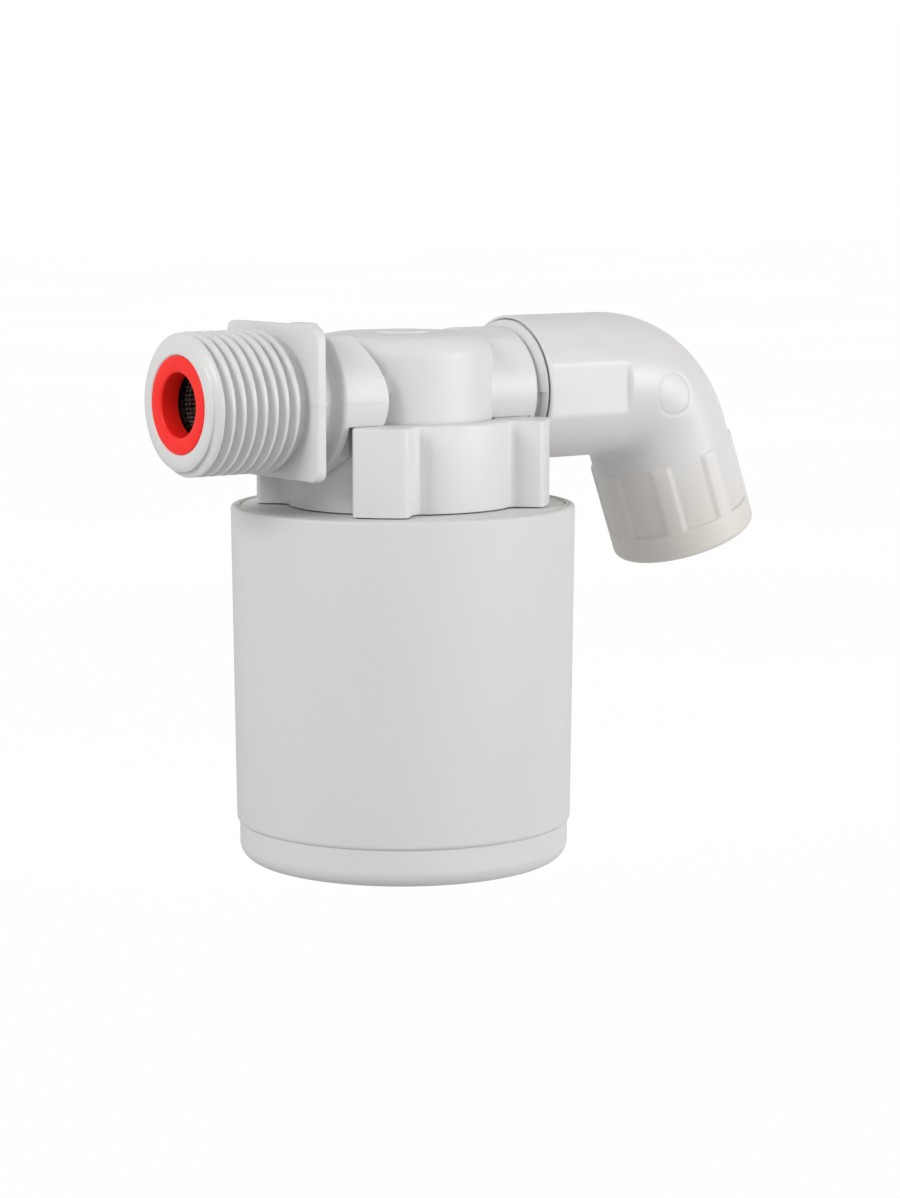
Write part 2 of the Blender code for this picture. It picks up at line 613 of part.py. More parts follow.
def make_float(parent, shell, plain, rubber):
    lid_z = FLOAT_TOP_Z - LID_THICKNESS
    ledge_z = lid_z - GAP
    foot_z = FLOAT_STEP_Z + GAP
    barrel = [(FLOAT_BORE_R, foot_z)]
    barrel += arc((FLOAT_FOOT_R - 1.2, foot_z + 1.2), 1.2, -90, 0, 3)
    barrel += [(FLOAT_TOP_R, FLOAT_TOP_Z - 0.35), (FLOAT_TOP_R - 0.35, FLOAT_TOP_Z),
               (LID_R + GAP, FLOAT_TOP_Z), (LID_R + GAP, ledge_z), (FLOAT_BORE_R, ledge_z)]
    finish(new_object("float_barrel", turned(barrel, FLOAT_SEGMENTS)), shell, parent)

    lid_outline = [(LID_HOLE_R, lid_z), (LID_R, lid_z), (LID_R, FLOAT_TOP_Z),
                   (LID_HOLE_R, FLOAT_TOP_Z)]
    lid = new_object("float_lid", turned(lid_outline, FLOAT_SEGMENTS))
    slot_half = KEY_HALF_WIDTH + 0.4
    slot_end = KEY_R + 0.5
    slot = [(LID_HOLE_R - 1, -slot_half), (slot_end, -slot_half), (slot_end, slot_half),
            (LID_HOLE_R - 1, slot_half)]
    shape(lid, prism(slot, lid_z - 1, FLOAT_TOP_Z + 1), 'DIFFERENCE')
    finish(lid, shell, parent)

    plug_r = FLOAT_BORE_R - GAP
    base = [(0, 0)]
    base += arc((BASE_R - BASE_EDGE_R, BASE_EDGE_R), BASE_EDGE_R, -90, 0, 4)
    base += [(BASE_R, FLOAT_STEP_Z), (plug_r, FLOAT_STEP_Z), (plug_r, BASE_PLUG_Z),
             (plug_r - BASE_WALL, BASE_PLUG_Z), (plug_r - BASE_WALL, BASE_WALL), (0, BASE_WALL)]
    finish(new_object("float_base", turned(base, FLOAT_SEGMENTS)), shell, parent)

    well_r = WELL_BORE_R + WELL_WALL
    flange_r = well_r + 2.3
    floor_z = WELL_FLOOR_Z + WELL_WALL
    well = [(0, WELL_FLOOR_Z), (well_r, WELL_FLOOR_Z), (well_r, ledge_z - WELL_WALL),
            (flange_r, ledge_z - WELL_WALL), (flange_r, ledge_z), (WELL_BORE_R, ledge_z),
            (WELL_BORE_R, floor_z), (0, floor_z)]
    finish(new_object("float_well", turned(well)), plain, parent)

    pad_r = 3.2
    pad_z = (NOZZLE_TIP_Z - GAP - 1.0, NOZZLE_TIP_Z - GAP)
    pad = [(0, pad_z[0]), (pad_r, pad_z[0]), (pad_r, pad_z[1]), (0, pad_z[1])]
    finish(new_object("pilot_pad", turned(pad, SMALL_SEGMENTS)), rubber, parent)
    holder_z = (floor_z + GAP, pad_z[0] - GAP, pad_z[0] + 0.4)
    holder = [(0, holder_z[0]), (pad_r + 1.2, holder_z[0]), (pad_r + 1.2, holder_z[2]),
              (pad_r + GAP, holder_z[2]), (pad_r + GAP, holder_z[1]), (0, holder_z[1])]
    finish(new_object("pad_holder", turned(holder, SMALL_SEGMENTS)), plain, parent)


# ----------------------------------------------------------------------- elbow

def elbow_station(along):
    """Centre and heading, about Y from +X, at a length along the elbow's centre line."""
    bend_length = ELBOW_BEND_R * ELBOW_BEND
    turn = min(max(along - ELBOW_STRAIGHT, 0) / ELBOW_BEND_R, ELBOW_BEND)
    straight = min(along, ELBOW_STRAIGHT)
    tail = max(along - ELBOW_STRAIGHT - bend_length, 0)
    x = ELBOW_MOUTH_X + straight + ELBOW_BEND_R * math.sin(turn) + tail * math.cos(turn)
    z = AXIS_Z - ELBOW_BEND_R * (1 - math.cos(turn)) - tail * math.sin(turn)
    return Vector((x, 0, z)), turn


def bent(outline):
    """Tube whose (radius, length) outline follows the elbow's centre line."""
    bend_start = ELBOW_STRAIGHT
    bend_end = ELBOW_STRAIGHT + ELBOW_BEND_R * ELBOW_BEND
    stops = [bend_start + (bend_end - bend_start) * k / ELBOW_BEND_STEPS
             for k in range(ELBOW_BEND_STEPS + 1)]
    dense = []
    for (radius, along), (next_radius, next_along) in zip(outline, outline[1:] + outline[:1]):
        dense.append((radius, along))
        between = [stop for stop in stops
                   if min(along, next_along) + 0.01 < stop < max(along, next_along) - 0.01]
        for stop in sorted(between, reverse=next_along < along):
            share = (stop - along) / (next_along - along)
            dense.append((radius + (next_radius - radius) * share, stop))
    rings = []
    for radius, along in dense:
        centre, turn = elbow_station(along)
        tilt = Matrix.Rotation(math.pi / 2 + turn, 3, 'Y')
        rings.append([tilt @ point + centre for point in circle(radius, 0, SEGMENTS)])
    return skin(rings)


def make_elbow(parent, material, clip_material, rubber):
    bend_end = ELBOW_STRAIGHT + ELBOW_BEND_R * ELBOW_BEND
    collar = bend_end + TAIL_COLLAR_START
    end = bend_end + TAIL_LENGTH
    groove = [x - ELBOW_MOUTH_X for x in CLIP_GROOVE_X]
    groove_r = ELBOW_SOCKET_R + 0.8
    outline = [(ELBOW_MOUTH_R, 0), (ELBOW_R, 0), (ELBOW_R, collar), (TAIL_R, collar + 0.4),
               (TAIL_R, end - TAIL_EDGE), (TAIL_R - TAIL_EDGE / 2, end), (TAIL_SOCKET_R, end),
               (TAIL_SOCKET_R, end - TAIL_SOCKET_DEPTH),
               (ELBOW_WATERWAY_R, end - TAIL_SOCKET_DEPTH),
               (ELBOW_WATERWAY_R, ELBOW_SOCKET_DEPTH), (ELBOW_SOCKET_R, ELBOW_SOCKET_DEPTH),
               (ELBOW_SOCKET_R, groove[1]), (groove_r, groove[1]), (groove_r, groove[0]),
               (ELBOW_SOCKET_R, groove[0]), (ELBOW_SOCKET_R, ELBOW_MOUTH_STEP),
               (ELBOW_MOUTH_R, ELBOW_MOUTH_STEP)]
    elbow = bent(outline)
    bmesh.ops.translate(elbow, vec=(-ELBOW_MOUTH_X, 0, -AXIS_Z), verts=elbow.verts)
    finish(new_object("outlet_elbow", elbow, place=(ELBOW_MOUTH_X, 0, AXIS_Z)), material, parent)

    on_axis = {"place": (0, 0, AXIS_Z), "along_x": True}
    clip = split_ring(CLIP_GROOVE_R + GAP, groove_r - GAP, CLIP_GROOVE_X[0] + GAP,
                      CLIP_GROOVE_X[1] - GAP, 40)
    finish(new_object("elbow_clip", clip, **on_axis), clip_material, parent)
    tube_r = (ELBOW_SOCKET_R - ORING_GROOVE_R) / 2 - GAP
    ring_r = (ELBOW_SOCKET_R + ORING_GROOVE_R) / 2
    middle = sum(ORING_GROOVE_X) / 2
    finish(new_object("elbow_oring", torus(ring_r, tube_r, middle), **on_axis), rubber)


def main():
    for old in list(bpy.data.objects):
        bpy.data.objects.remove(old)
    shell = plastic("shell_white", (0.80, 0.80, 0.80), 0.45)
    ivory = plastic("body_white", (0.80, 0.79, 0.76), 0.42)
    gloss = plastic("elbow_white", (0.82, 0.81, 0.79), 0.25)
    red = plastic("ring_red", (0.78, 0.03, 0.03), 0.40)
    rubber = plastic("black_rubber", (0.02, 0.02, 0.02), 0.70)
    mesh = plastic("screen_mesh", (0.06, 0.04, 0.03), 0.50, 0.6)
    steel = plastic("stainless", (0.60, 0.60, 0.60), 0.30, 1.0)
    brass = plastic("brass", (0.75, 0.55, 0.25), 0.30, 1.0)
    acetal = plastic("inner_white", (0.78, 0.78, 0.76), 0.40)

    float_slide = joint_empty("float_slide_axis", (0, 0, FLOAT_TOP_Z))
    piston_slide = joint_empty("piston_slide_axis", (0, 0, SEAT_Z))
    elbow_swivel = joint_empty("elbow_swivel_axis", (ELBOW_MOUTH_X, 0, AXIS_Z))

    make_valve_body(ivory)
    make_inlet_filter(red, mesh)
    make_union_nut(shell)
    make_pilot_housing(acetal)
    make_housing_fittings(rubber, steel, brass, acetal)
    make_piston(piston_slide, acetal, rubber, steel)
    make_piston_spring(steel)
    make_float(float_slide, shell, acetal, rubber)
    make_elbow(elbow_swivel, gloss, acetal, rubber)


main()
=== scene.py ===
"""Looks of the side-inlet float valve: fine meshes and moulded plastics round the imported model.

Lengths are millimetres until new_piece() turns them into metres. The studio's lamps and camera are
in metres. The frame gives the driving places: the axis of the elbow's swivel, the ends of the
body, and the heights of the nut and the float.
"""

import json
import math

import bmesh
import bpy
from mathutils import Matrix, Vector, noise


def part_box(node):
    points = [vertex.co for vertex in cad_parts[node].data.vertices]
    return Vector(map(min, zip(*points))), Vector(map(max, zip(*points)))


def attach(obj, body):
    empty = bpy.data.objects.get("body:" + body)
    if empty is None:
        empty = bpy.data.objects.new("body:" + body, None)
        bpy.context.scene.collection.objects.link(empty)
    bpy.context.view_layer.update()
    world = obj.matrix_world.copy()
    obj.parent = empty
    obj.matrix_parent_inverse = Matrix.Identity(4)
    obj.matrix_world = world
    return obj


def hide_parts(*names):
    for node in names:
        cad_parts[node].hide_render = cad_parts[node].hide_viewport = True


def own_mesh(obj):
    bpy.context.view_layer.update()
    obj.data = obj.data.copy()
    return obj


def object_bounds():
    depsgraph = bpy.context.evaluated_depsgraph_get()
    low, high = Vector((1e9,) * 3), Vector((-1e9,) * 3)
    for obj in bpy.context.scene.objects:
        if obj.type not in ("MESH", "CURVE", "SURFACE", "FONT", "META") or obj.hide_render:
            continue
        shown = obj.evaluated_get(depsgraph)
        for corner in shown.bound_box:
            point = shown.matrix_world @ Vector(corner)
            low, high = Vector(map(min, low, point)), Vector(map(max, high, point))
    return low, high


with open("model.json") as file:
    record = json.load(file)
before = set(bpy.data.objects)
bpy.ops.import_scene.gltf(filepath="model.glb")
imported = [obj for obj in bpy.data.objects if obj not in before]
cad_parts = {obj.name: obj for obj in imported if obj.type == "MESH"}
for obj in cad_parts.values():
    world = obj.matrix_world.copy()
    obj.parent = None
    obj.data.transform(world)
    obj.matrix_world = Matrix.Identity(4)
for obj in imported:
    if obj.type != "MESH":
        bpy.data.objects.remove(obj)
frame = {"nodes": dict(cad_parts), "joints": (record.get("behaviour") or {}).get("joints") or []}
CAD_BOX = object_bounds()

MM = 0.001
SIDES = 192                     # sides of a round piece
FINE_SIDES = 288                # sides of the bent elbow
SHARP_ANGLE = math.radians(40)


def low(node):
    """Lowest corner of a CAD node, in millimetres."""
    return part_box(node)[0] / MM


def high(node):
    """Highest corner of a CAD node, in millimetres."""
    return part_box(node)[1] / MM


def joint_named(name):
    return next(joint for joint in frame["joints"] if joint["name"] == name)


# Places taken from the frame
SWIVEL = Vector(joint_named("elbow_swivel")["pos_m"]) / MM
AXIS_Z = SWIVEL.z               # inlet and outlet axis
ELBOW_MOUTH_X = SWIVEL.x
INLET_FACE_X = low("valve_body").x
SPIGOT_END_X = high("valve_body").x
FLOAT_TOP_Z = high("float_barrel").z
FLOAT_FOOT_Z = low("float_barrel").z
FLOAT_TOP_R = high("float_barrel").x
BASE_R = high("float_base").x
LID_R = high("float_lid").x
LID_UNDERSIDE_Z = low("float_lid").z
NUT_TOP_Z = high("union_nut").z
RING_R = high("filter_ring").y
RING_BACK_X = high("filter_ring").x
SCREEN_END_X = high("filter_screen").x
HOUSING_R = high("pilot_housing").y
HOUSING_TOP_Z = high("pilot_housing").z
STEM_END_Z = low("pilot_housing").z

# Valve body
DRUM_R = 13.5
DRUM_TOP_Z = 79.8
DRUM_EDGE_R = 3.5
DRUM_CAVITY_R = 11.4
DRUM_CAVITY_TOP_Z = 77.9
CLAMP_FLANGE_R = 15.1
CLAMP_FLANGE_Z = (62.9, 64.7)
SEAT_Z = 65.1
SEAT_TUBE_R = 5.6
SEAT_BORE_R = 4.0
SEAT_BEND_R = 4.6
PASSAGE_Z = 72.8
NUT_CLEARANCE_R = 17.9
NUT_CLEARANCE_Z = NUT_TOP_Z + 0.05
CUT_FOOT_Z = 40.0               # cutters round the nut reach from here
CUT_TOP_Z = 100.0
LOBE_ROOM_X = (-17.6, 17.4)
LOBE_ROOM_Y = 8.5
LOBE_ROOM_WIDTH = 5.0
LOBE_ROOM_OUTLET_X = 5.0
GATE_BOSS_R = 4.1
GATE_BOSS_HEIGHT = 0.35

# Inlet: G 1/2 pipe thread
INLET_NOSE_R = 8.9
INLET_NOSE_LENGTH = 1.25        # rounding from the end face up to the first crest
THREAD_CREST_R = 20.955 / 2
THREAD_ROOT_R = 18.631 / 2
THREAD_PITCH = 25.4 / 14
THREAD_FLANK = 0.52             # axial run of one flank; the crests are moulded broad
THREAD_CREST_FLAT = 0.46
THREAD_ROUNDING = 0.25          # share of each flank's shape that is a cosine, not a straight line
THREAD_FIRST_CREST_X = -38.59   # on the side that faces -Y
THREAD_END_X = (-25.1, -24.8)   # the last turn runs out between these places
THREAD_STEP = 0.085             # axial length of one row of faces
INLET_BORE_R = 5.0
INLET_BORE_END_X = -20.8
INLET_PASSAGE_R = 3.6
RING_SEAT_R = 7.16
RING_SEAT_X = -35.3
RING_BORE_R = 4.66
RING_GAP = 0.03
RING_BORE_EDGE = 0.42
RING_RIM_EDGE = 0.16
PLATE_X = (-23.7, -22.0)
PLATE_HALF_Y = 11.9
PLATE_HALF_Z = 11.3
PLATE_CORNERS = (1.5, 1.5, 1.6, 2.3)    # far top, far bottom, near bottom, near top
PLATE_EDGE = 0.3
PLATE_LUG_Y = (-10.0, -5.0)     # raised stretch of the plate's top edge
PLATE_LUG_TOP_Z = 82.2
COLLAR_R = 11.7
COLLAR_FRONT_X = -18.6
COLLAR_BACK_X = -9.0
COLLAR_SWEEP_R = 16.0
COLLAR_EDGE = 0.55
COLLAR_TOP_Z = 80.0             # the collar's top is cut flat, just above the drum's
WEB_END_X = -9.0                # the drum's crown tapers on to the collar round this place
WEB_END_R = 8.0
NECK_R = 9.0
NECK_END_X = -6.0
PARTING_HEIGHT = 0.2            # fine line where the two halves of the mould met
PARTING_STAND = 0.12
PARTING_COLLAR_X = (COLLAR_FRONT_X + 0.5, -11.6)

# Strainer basket
SCREEN_GAP = 0.4                # between the basket and the inlet's bore
SCREEN_WIRE = 0.11              # half of a wire's width, corner to corner
SCREEN_WEAVE = 0.09             # height of the wires' waves
SCREEN_LONG_WIRES = 44
SCREEN_HOOPS = 16
SCREEN_RIM_LIP = 0.25           # length of the rim's narrow front lip

# Outlet
OUTLET_COLLAR_R = 9.6
OUTLET_COLLAR_X = 9.5
SHOULDER_X = 18.5
SHOULDER_R = 9.43
SPIGOT_R = 8.6
SPIGOT_BORE_R = 6.5
SPIGOT_BORE_X = 19.2
ORING_GROOVE_X = (24.5, 26.4)
ORING_GROOVE_R = 7.3
CLIP_GROOVE_X = (28.6, 30.0)
CLIP_GROOVE_R = 7.6
CLIP_GROOVE_DEPTH = 0.8         # of its other half, in the elbow's socket
GAP_RING_R = (8.3, 10.5)        # ring on the neck that closes the gap before the elbow's mouth
GAP_RING_X = (19.5, 19.74)
GAP_RING_FRONT_X = 18.9         # foot of the slope on its upper half

# Elbow, measured along its centre line from the mouth
ELBOW_STRAIGHT = 17.77
ELBOW_BEND_R = 13.2
ELBOW_BEND = math.radians(70.0)
ELBOW_R = 11.16
ELBOW_MOUTH_R = 10.66
ELBOW_LIP_R = 10.5              # bush inside the mouth; a fine groove parts it from the rim
ELBOW_LIP_DEPTH = 0.3
ELBOW_GROOVE_DEPTH = 0.9
ELBOW_MOUTH_EDGE = 0.3
ELBOW_SOCKET_R = 9.0
ELBOW_SOCKET_DEPTH = 12.0
ELBOW_WATERWAY_R = 8.2
TAIL_RIB_START = 2.1            # along the tail from the bend
TAIL_LENGTH = 17.74
TAIL_R = 11.55
TAIL_SOCKET_R = 10.1
TAIL_SOCKET_DEPTH = 13.0
TAIL_RIM_START = 13.1
TAIL_EDGE = 0.9
RIB_COUNT = 8
RIB_WIDTH = math.radians(14)
RIB_TURN = math.radians(2.5)
FLATS = ((0, 0.74, 16.2), (45, 0.18, 12.5),
         (180, 0.74, 16.2), (135, 0.18, 12.5))      # turn in degrees, depth, length
FLAT_BLEND = 0.05               # softness of the flats' long edges
MARK_PLACE = (44.4, 69.2)       # X and Z of the ejector mark on the bend
MARK_R = 3.3
MARK_DEPTH = 0.13
MARK_WIDTH = 0.17
ELBOW_STEP = 0.24               # length of one row of faces

# Union nut
NUT_LOBES = 4
NUT_TURN = math.radians(45.5)
NUT_LOBE_R = 22.1
NUT_ROOT_R = 17.5
NUT_LOBE_HALF_WIDTH = 4.15
NUT_BORE_R = 15.4
NUT_LIP_R = 13.8
NUT_LIP_Z = 65.0
NUT_CORNER_R = 0.9
NUT_FILLET_R = 2.0
NUT_EDGE = 0.3
NUT_FOOT_Z = FLOAT_TOP_Z + 0.12     # the lobes reach almost down to the float's lid
NUT_FOOT_EDGE = 0.12

# Float
FLOAT_FOOT_R = 25.42
FLOAT_FOOT_EDGE = 0.8
FLOAT_FOOT_GAP = 0.02           # hairline between the barrel's foot and the base
FLOAT_BORE_R = 23.6
FLOAT_RIM = 0.45
BASE_EDGE_R = 2.6
BASE_WALL = 1.7
BASE_PLUG_Z = 8.6
LID_HOLE_R = 7.2
LID_DROP = 0.05                 # the lid lies this far under the rim
LID_LEDGE = 0.3
KEY_SLOT_GAP = 0.4
SEAM_R = 24.75
SEAM_SIZE = (0.19, 0.11)        # mean radius of the bead and the swing of its lumps
FLOAT_SIDES = 256

# Pilot housing
HOUSING_UNDERSIDE_Z = 54.4
CYLINDER_R = 11.0
CYLINDER_FLOOR_Z = 55.9
HOUSING_GROOVE = (12.3, 13.9, 61.4)
STEM_R = 6.8
STEM_GROOVE = (6.0, 44.3, 46.2)
PILOT_PASSAGE_R = 1.6
SPRING_WIRE_R = 0.25
SPRING_TURNS = 3
NOZZLE_SEAT = (2.9, 42.0)
KEY_HALF_WIDTH = 0.8
KEY_R = 7.9

# Studio, in metres
SURROUND_LIGHT = (0.84, 0.44)   # level with the object, and overhead
FLOOR_LIGHT = 0.57              # the surround and the floor show whiter than they light
FLOOR_HALF = 3.0
FLOOR_CLEARANCE = 0.0005        # under the lowest place that the float reaches
LAMP_TARGET = (0.0, 0.0, 0.045)
LAMPS = (("right_lamp", (0.58, -0.80, 0.08), 0.7, 9.0),
         ("left_lamp", (-0.95, -0.12, 0.58), 0.4, 5.6))     # name, place, width, watts
CAMERA_PLACE = (-0.277602, -0.384928, 0.104867)
CAMERA_TILT = math.radians(82.142)
CAMERA_TURN = math.radians(-36.656)
CAMERA_LENS = 94.83             # millimetres, as the sensor's width
CAMERA_SENSOR = 36.0

# Elbow's painted warm shade, in metres: a tint that darkens and warms its lower part, standing in
# for shade
PAINTED_WARM_SHADE = ((0.985, 0.945, 0.885), 0.070, 0.048)    # tint, and heights where it sets in and is full
SHADE_WANDER = 0.012           # how far noise shifts those heights

LIE_ALONG_X = Matrix.Translation((0, 0, AXIS_Z)) @ Matrix.Rotation(math.pi / 2, 4, 'Y')


# ---- mesh helpers

def circle(radius, height, sides=SIDES, phase=0.0):
    """Ring of points about Z, or the single point on the axis when the radius is 0."""
    if radius == 0:
        return [Vector((0, 0, height))]
    turns = [2 * math.pi * (k + phase) / sides for k in range(sides)]
    return [Vector((radius * math.cos(t), radius * math.sin(t), height)) for t in turns]


def skin(rings):
    """Closed mesh through a loop of rings of points; a ring of one point is a pole."""
    bm = bmesh.new()
    loops = [[bm.verts.new(point) for point in ring] for ring in rings]
    sides = max(len(loop) for loop in loops)
    for near, far in zip(loops, loops[1:] + loops[:1]):
        for k in range(sides):
            corners = [near[k % len(near)], near[(k + 1) % len(near)],
                       far[(k + 1) % len(far)], far[k % len(far)]]
            corners = list(dict.fromkeys(corners))
            if len(corners) > 2:
                bm.faces.new(corners)
    bmesh.ops.recalc_face_normals(bm, faces=bm.faces)
    return bm


def strip(sections):
    """Closed mesh through a row of equal sections, with a cap on each end."""
    bm = bmesh.new()
    loops = [[bm.verts.new(point) for point in section] for section in sections]
    for near, far in zip(loops, loops[1:]):
        for k in range(len(near)):
            after = (k + 1) % len(near)
            bm.faces.new((near[k], near[after], far[after], far[k]))
    bm.faces.new(loops[0])
    bm.faces.new(loops[-1])
    bmesh.ops.recalc_face_normals(bm, faces=bm.faces)
    return bm


def rounded_corner(before, corner, after, radius, steps):
    """Arc that replaces a corner of a flat outline."""
    before, corner, after = Vector(before), Vector(corner), Vector(after)
    back = (before - corner).normalized()
    ahead = (after - corner).normalized()
    half = back.angle(ahead) / 2
    reach = radius / math.tan(half)
    centre = corner + (back + ahead).normalized() * (radius / math.sin(half))
    start = corner + back * reach - centre
    end = corner + ahead * reach - centre
    sweep = start.angle_signed(end)
    return [tuple(centre + Matrix.Rotation(-sweep * k / steps, 2) @ start)
            for k in range(steps + 1)]


def rounded(outline, steps=5):
    """Closed outline in which a point with a third value has its corner rounded to that radius."""
    points = []
    for k, point in enumerate(outline):
        if len(point) == 2:
            points.append(point)
            continue
        before, after = outline[k - 1][:2], outline[(k + 1) % len(outline)][:2]
        points += rounded_corner(before, point[:2], after, point[2], steps)
    return points


def turned(outline, sides=SIDES, phase=0.0, steps=5):
    """Solid of revolution about Z from a closed outline of (radius, height[, rounding]) points."""
    return skin([circle(radius, height, sides, phase)
                 for radius, height in rounded(outline, steps)])


def prism(outline, start, end):
    """Flat outline in X and Y, raised from start to end along Z."""
    return strip([[Vector((x, y, height)) for x, y in outline] for height in (start, end)])


def edge_arc(start, size, direction):
    """(inset, height) steps of a round edge, from a flat end up (1) or down (-1) the flank."""
    turns = [math.pi / 2 * k / 4 for k in range(5)]
    return [(size * (1 - math.sin(t)), start + direction * size * (1 - math.cos(t)))
            for t in turns]


def outwards(turn):
    return Vector((math.cos(turn), math.sin(turn), 0))


def smooth_step(value, start, end):
    share = min(max((value - start) / (end - start), 0.0), 1.0)
    return share * share * (3 - 2 * share)


# ---- object helpers

def add_object(name, data):
    new = bpy.data.objects.new(name, data)
    bpy.context.collection.objects.link(new)
    return new


def new_piece(name, bm, matrix=None):
    """Object from a mesh in millimetres, with its place in its vertices."""
    if matrix is not None:
        bm.transform(matrix)
    bmesh.ops.scale(bm, vec=(MM, MM, MM), verts=bm.verts)
    mesh = bpy.data.meshes.new(name)
    bm.to_mesh(mesh)
    bm.free()
    mesh.shade_smooth()
    mesh.set_sharp_from_angle(angle=SHARP_ANGLE)
    return add_object(name, mesh)


def place(piece, material, body, slot, *nodes):
    """Give a piece its material, the body it rides on and the CAD nodes it stands for."""
    piece.data.materials.clear()
    piece.data.materials.append(material)
    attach(piece, body)
    if nodes:
        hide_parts(*nodes)
    return piece


def combine(target, bm, operation, matrix=None):
    """Add a solid to the target or cut it out; returns the helper object."""
    helper = new_piece(f"{target.name}_helper_{len(target.modifiers) + 1}", bm, matrix)
    step = target.modifiers.new(operation.lower(), 'BOOLEAN')
    step.operation = operation
    step.solver = 'EXACT'
    step.object = helper
    return helper


def bake_down(target):
    """Replace a piece's mesh by its combined shape and delete the helpers."""
    helpers = [step.object for step in target.modifiers]
    evaluated = target.evaluated_get(bpy.context.evaluated_depsgraph_get())
    mesh = bpy.data.meshes.new_from_object(evaluated)
    target.modifiers.clear()
    target.data = mesh
    mesh.shade_smooth()
    mesh.set_sharp_from_angle(angle=SHARP_ANGLE)
    while helpers:
        helper = helpers.pop()
        helpers += [step.object for step in helper.modifiers]
        bpy.data.objects.remove(helper)
    return target


# ---- materials

def new_material(name):
    material = bpy.data.materials.new(name)
    material.use_nodes = True
    tree = material.node_tree
    return material, tree, tree.nodes["Principled BSDF"]


def noise_field(tree, scale, detail=2.0, roughness=0.5, stretch=(1, 1, 1)):
    """Noise over the piece's own coordinates; scale is in waves per metre."""
    place_node = tree.nodes.new("ShaderNodeTexCoord")
    mapping = tree.nodes.new("ShaderNodeMapping")
    mapping.inputs["Scale"].default_value = stretch
    field = tree.nodes.new("ShaderNodeTexNoise")
    field.inputs["Scale"].default_value = scale
    field.inputs["Detail"].default_value = detail
    field.inputs["Roughness"].default_value = roughness
    tree.links.new(place_node.outputs["Object"], mapping.inputs["Vector"])
    tree.links.new(mapping.outputs["Vector"], field.inputs["Vector"])
    return field.outputs["Fac"]


def blend_colours(tree, factor, first, second):
    """Noise between 0 and 1 turned into a colour between two, with soft patches of each."""
    ramp = tree.nodes.new("ShaderNodeValToRGB")
    for stop, position, colour in zip(ramp.color_ramp.elements, (0.35, 0.65), (first, second)):
        stop.position = position
        stop.color = (*colour, 1)
    tree.links.new(factor, ramp.inputs["Fac"])
    return ramp.outputs["Color"]


def spread(tree, factor, start, end):
    """Noise between 0 and 1 turned into a value between start and end."""
    node = tree.nodes.new("ShaderNodeMapRange")
    node.inputs["From Min"].default_value = 0.3
    node.inputs["From Max"].default_value = 0.7
    node.inputs["To Min"].default_value = start
    node.inputs["To Max"].default_value = end
    tree.links.new(factor, node.inputs["Value"])
    return node.outputs["Result"]


def bump(tree, height, distance, below=None):
    node = tree.nodes.new("ShaderNodeBump")
    node.inputs["Distance"].default_value = distance
    tree.links.new(height, node.inputs["Height"])
    if below:
        tree.links.new(below, node.inputs["Normal"])
    return node.outputs["Normal"]


def paint_shade_downwards(tree, surface, tint, shade_free_z, full_shade_z):
    """Surface colour times a tint that grows, in patches, from one height to a lower one: painted
    warm shade, darker towards the bottom.
    """
    place_node = tree.nodes.new("ShaderNodeTexCoord")
    height = tree.nodes.new("ShaderNodeSeparateXYZ")
    tree.links.new(place_node.outputs["Object"], height.inputs["Vector"])
    wander = tree.nodes.new("ShaderNodeMath")
    wander.operation = 'MULTIPLY_ADD'
    wander.inputs[1].default_value = SHADE_WANDER
    tree.links.new(noise_field(tree, 90, detail=3), wander.inputs[0])
    tree.links.new(height.outputs["Z"], wander.inputs[2])
    shade_share = tree.nodes.new("ShaderNodeMapRange")
    shade_share.interpolation_type = 'SMOOTHSTEP'
    shade_share.inputs["From Min"].default_value = shade_free_z
    shade_share.inputs["From Max"].default_value = full_shade_z
    tree.links.new(wander.outputs["Value"], shade_share.inputs["Value"])
    mix = tree.nodes.new("ShaderNodeMix")
    mix.data_type = 'RGBA'
    mix.blend_type = 'MULTIPLY'
    tree.links.new(shade_share.outputs["Result"], mix.inputs["Factor"])
    tree.links.new(surface, mix.inputs["A"])
    mix.inputs["B"].default_value = (*tint, 1)
    return mix.outputs["Result"]


def moulded_plastic(name, colour, shade, roughness, grain=0.02, waves=0.05, specular=0.5,
                    subsurface=0.0, flow=(1, 1, 1), painted_shade=None):
    """Injection-moulded plastic: cloudy colour, patchy gloss, fine grain and slow sink waves.

    grain and waves are bump heights in millimetres; flow stretches the clouds along an axis.
    The last argument is a tint and the two heights between which it sets in downwards, unevenly:
    painted warm shade, darker towards the bottom, not the plastic's own colour.
    """
    material, tree, shader = new_material(name)
    clouds = noise_field(tree, 55, detail=3, stretch=flow)
    surface = blend_colours(tree, clouds, colour, shade)
    # painted shade: the tint darkens and warms the colour towards the bottom
    if painted_shade:
        surface = paint_shade_downwards(tree, surface, *painted_shade)
    tree.links.new(surface, shader.inputs["Base Color"])
    patches = noise_field(tree, 420, detail=4, roughness=0.6)
    tree.links.new(spread(tree, patches, roughness * 0.88, roughness * 1.14),
                   shader.inputs["Roughness"])
    slow = bump(tree, noise_field(tree, 130, detail=1), waves * MM)
    fine = bump(tree, noise_field(tree, 2600, detail=2), grain * MM, below=slow)
    tree.links.new(fine, shader.inputs["Normal"])
    shader.inputs["Specular IOR Level"].default_value = specular
    if subsurface:
        shader.inputs["Subsurface Weight"].default_value = subsurface
        shader.inputs["Subsurface Radius"].default_value = (1.0, 0.9, 0.75)
        shader.inputs["Subsurface Scale"].default_value = 1.6 * MM
    return material


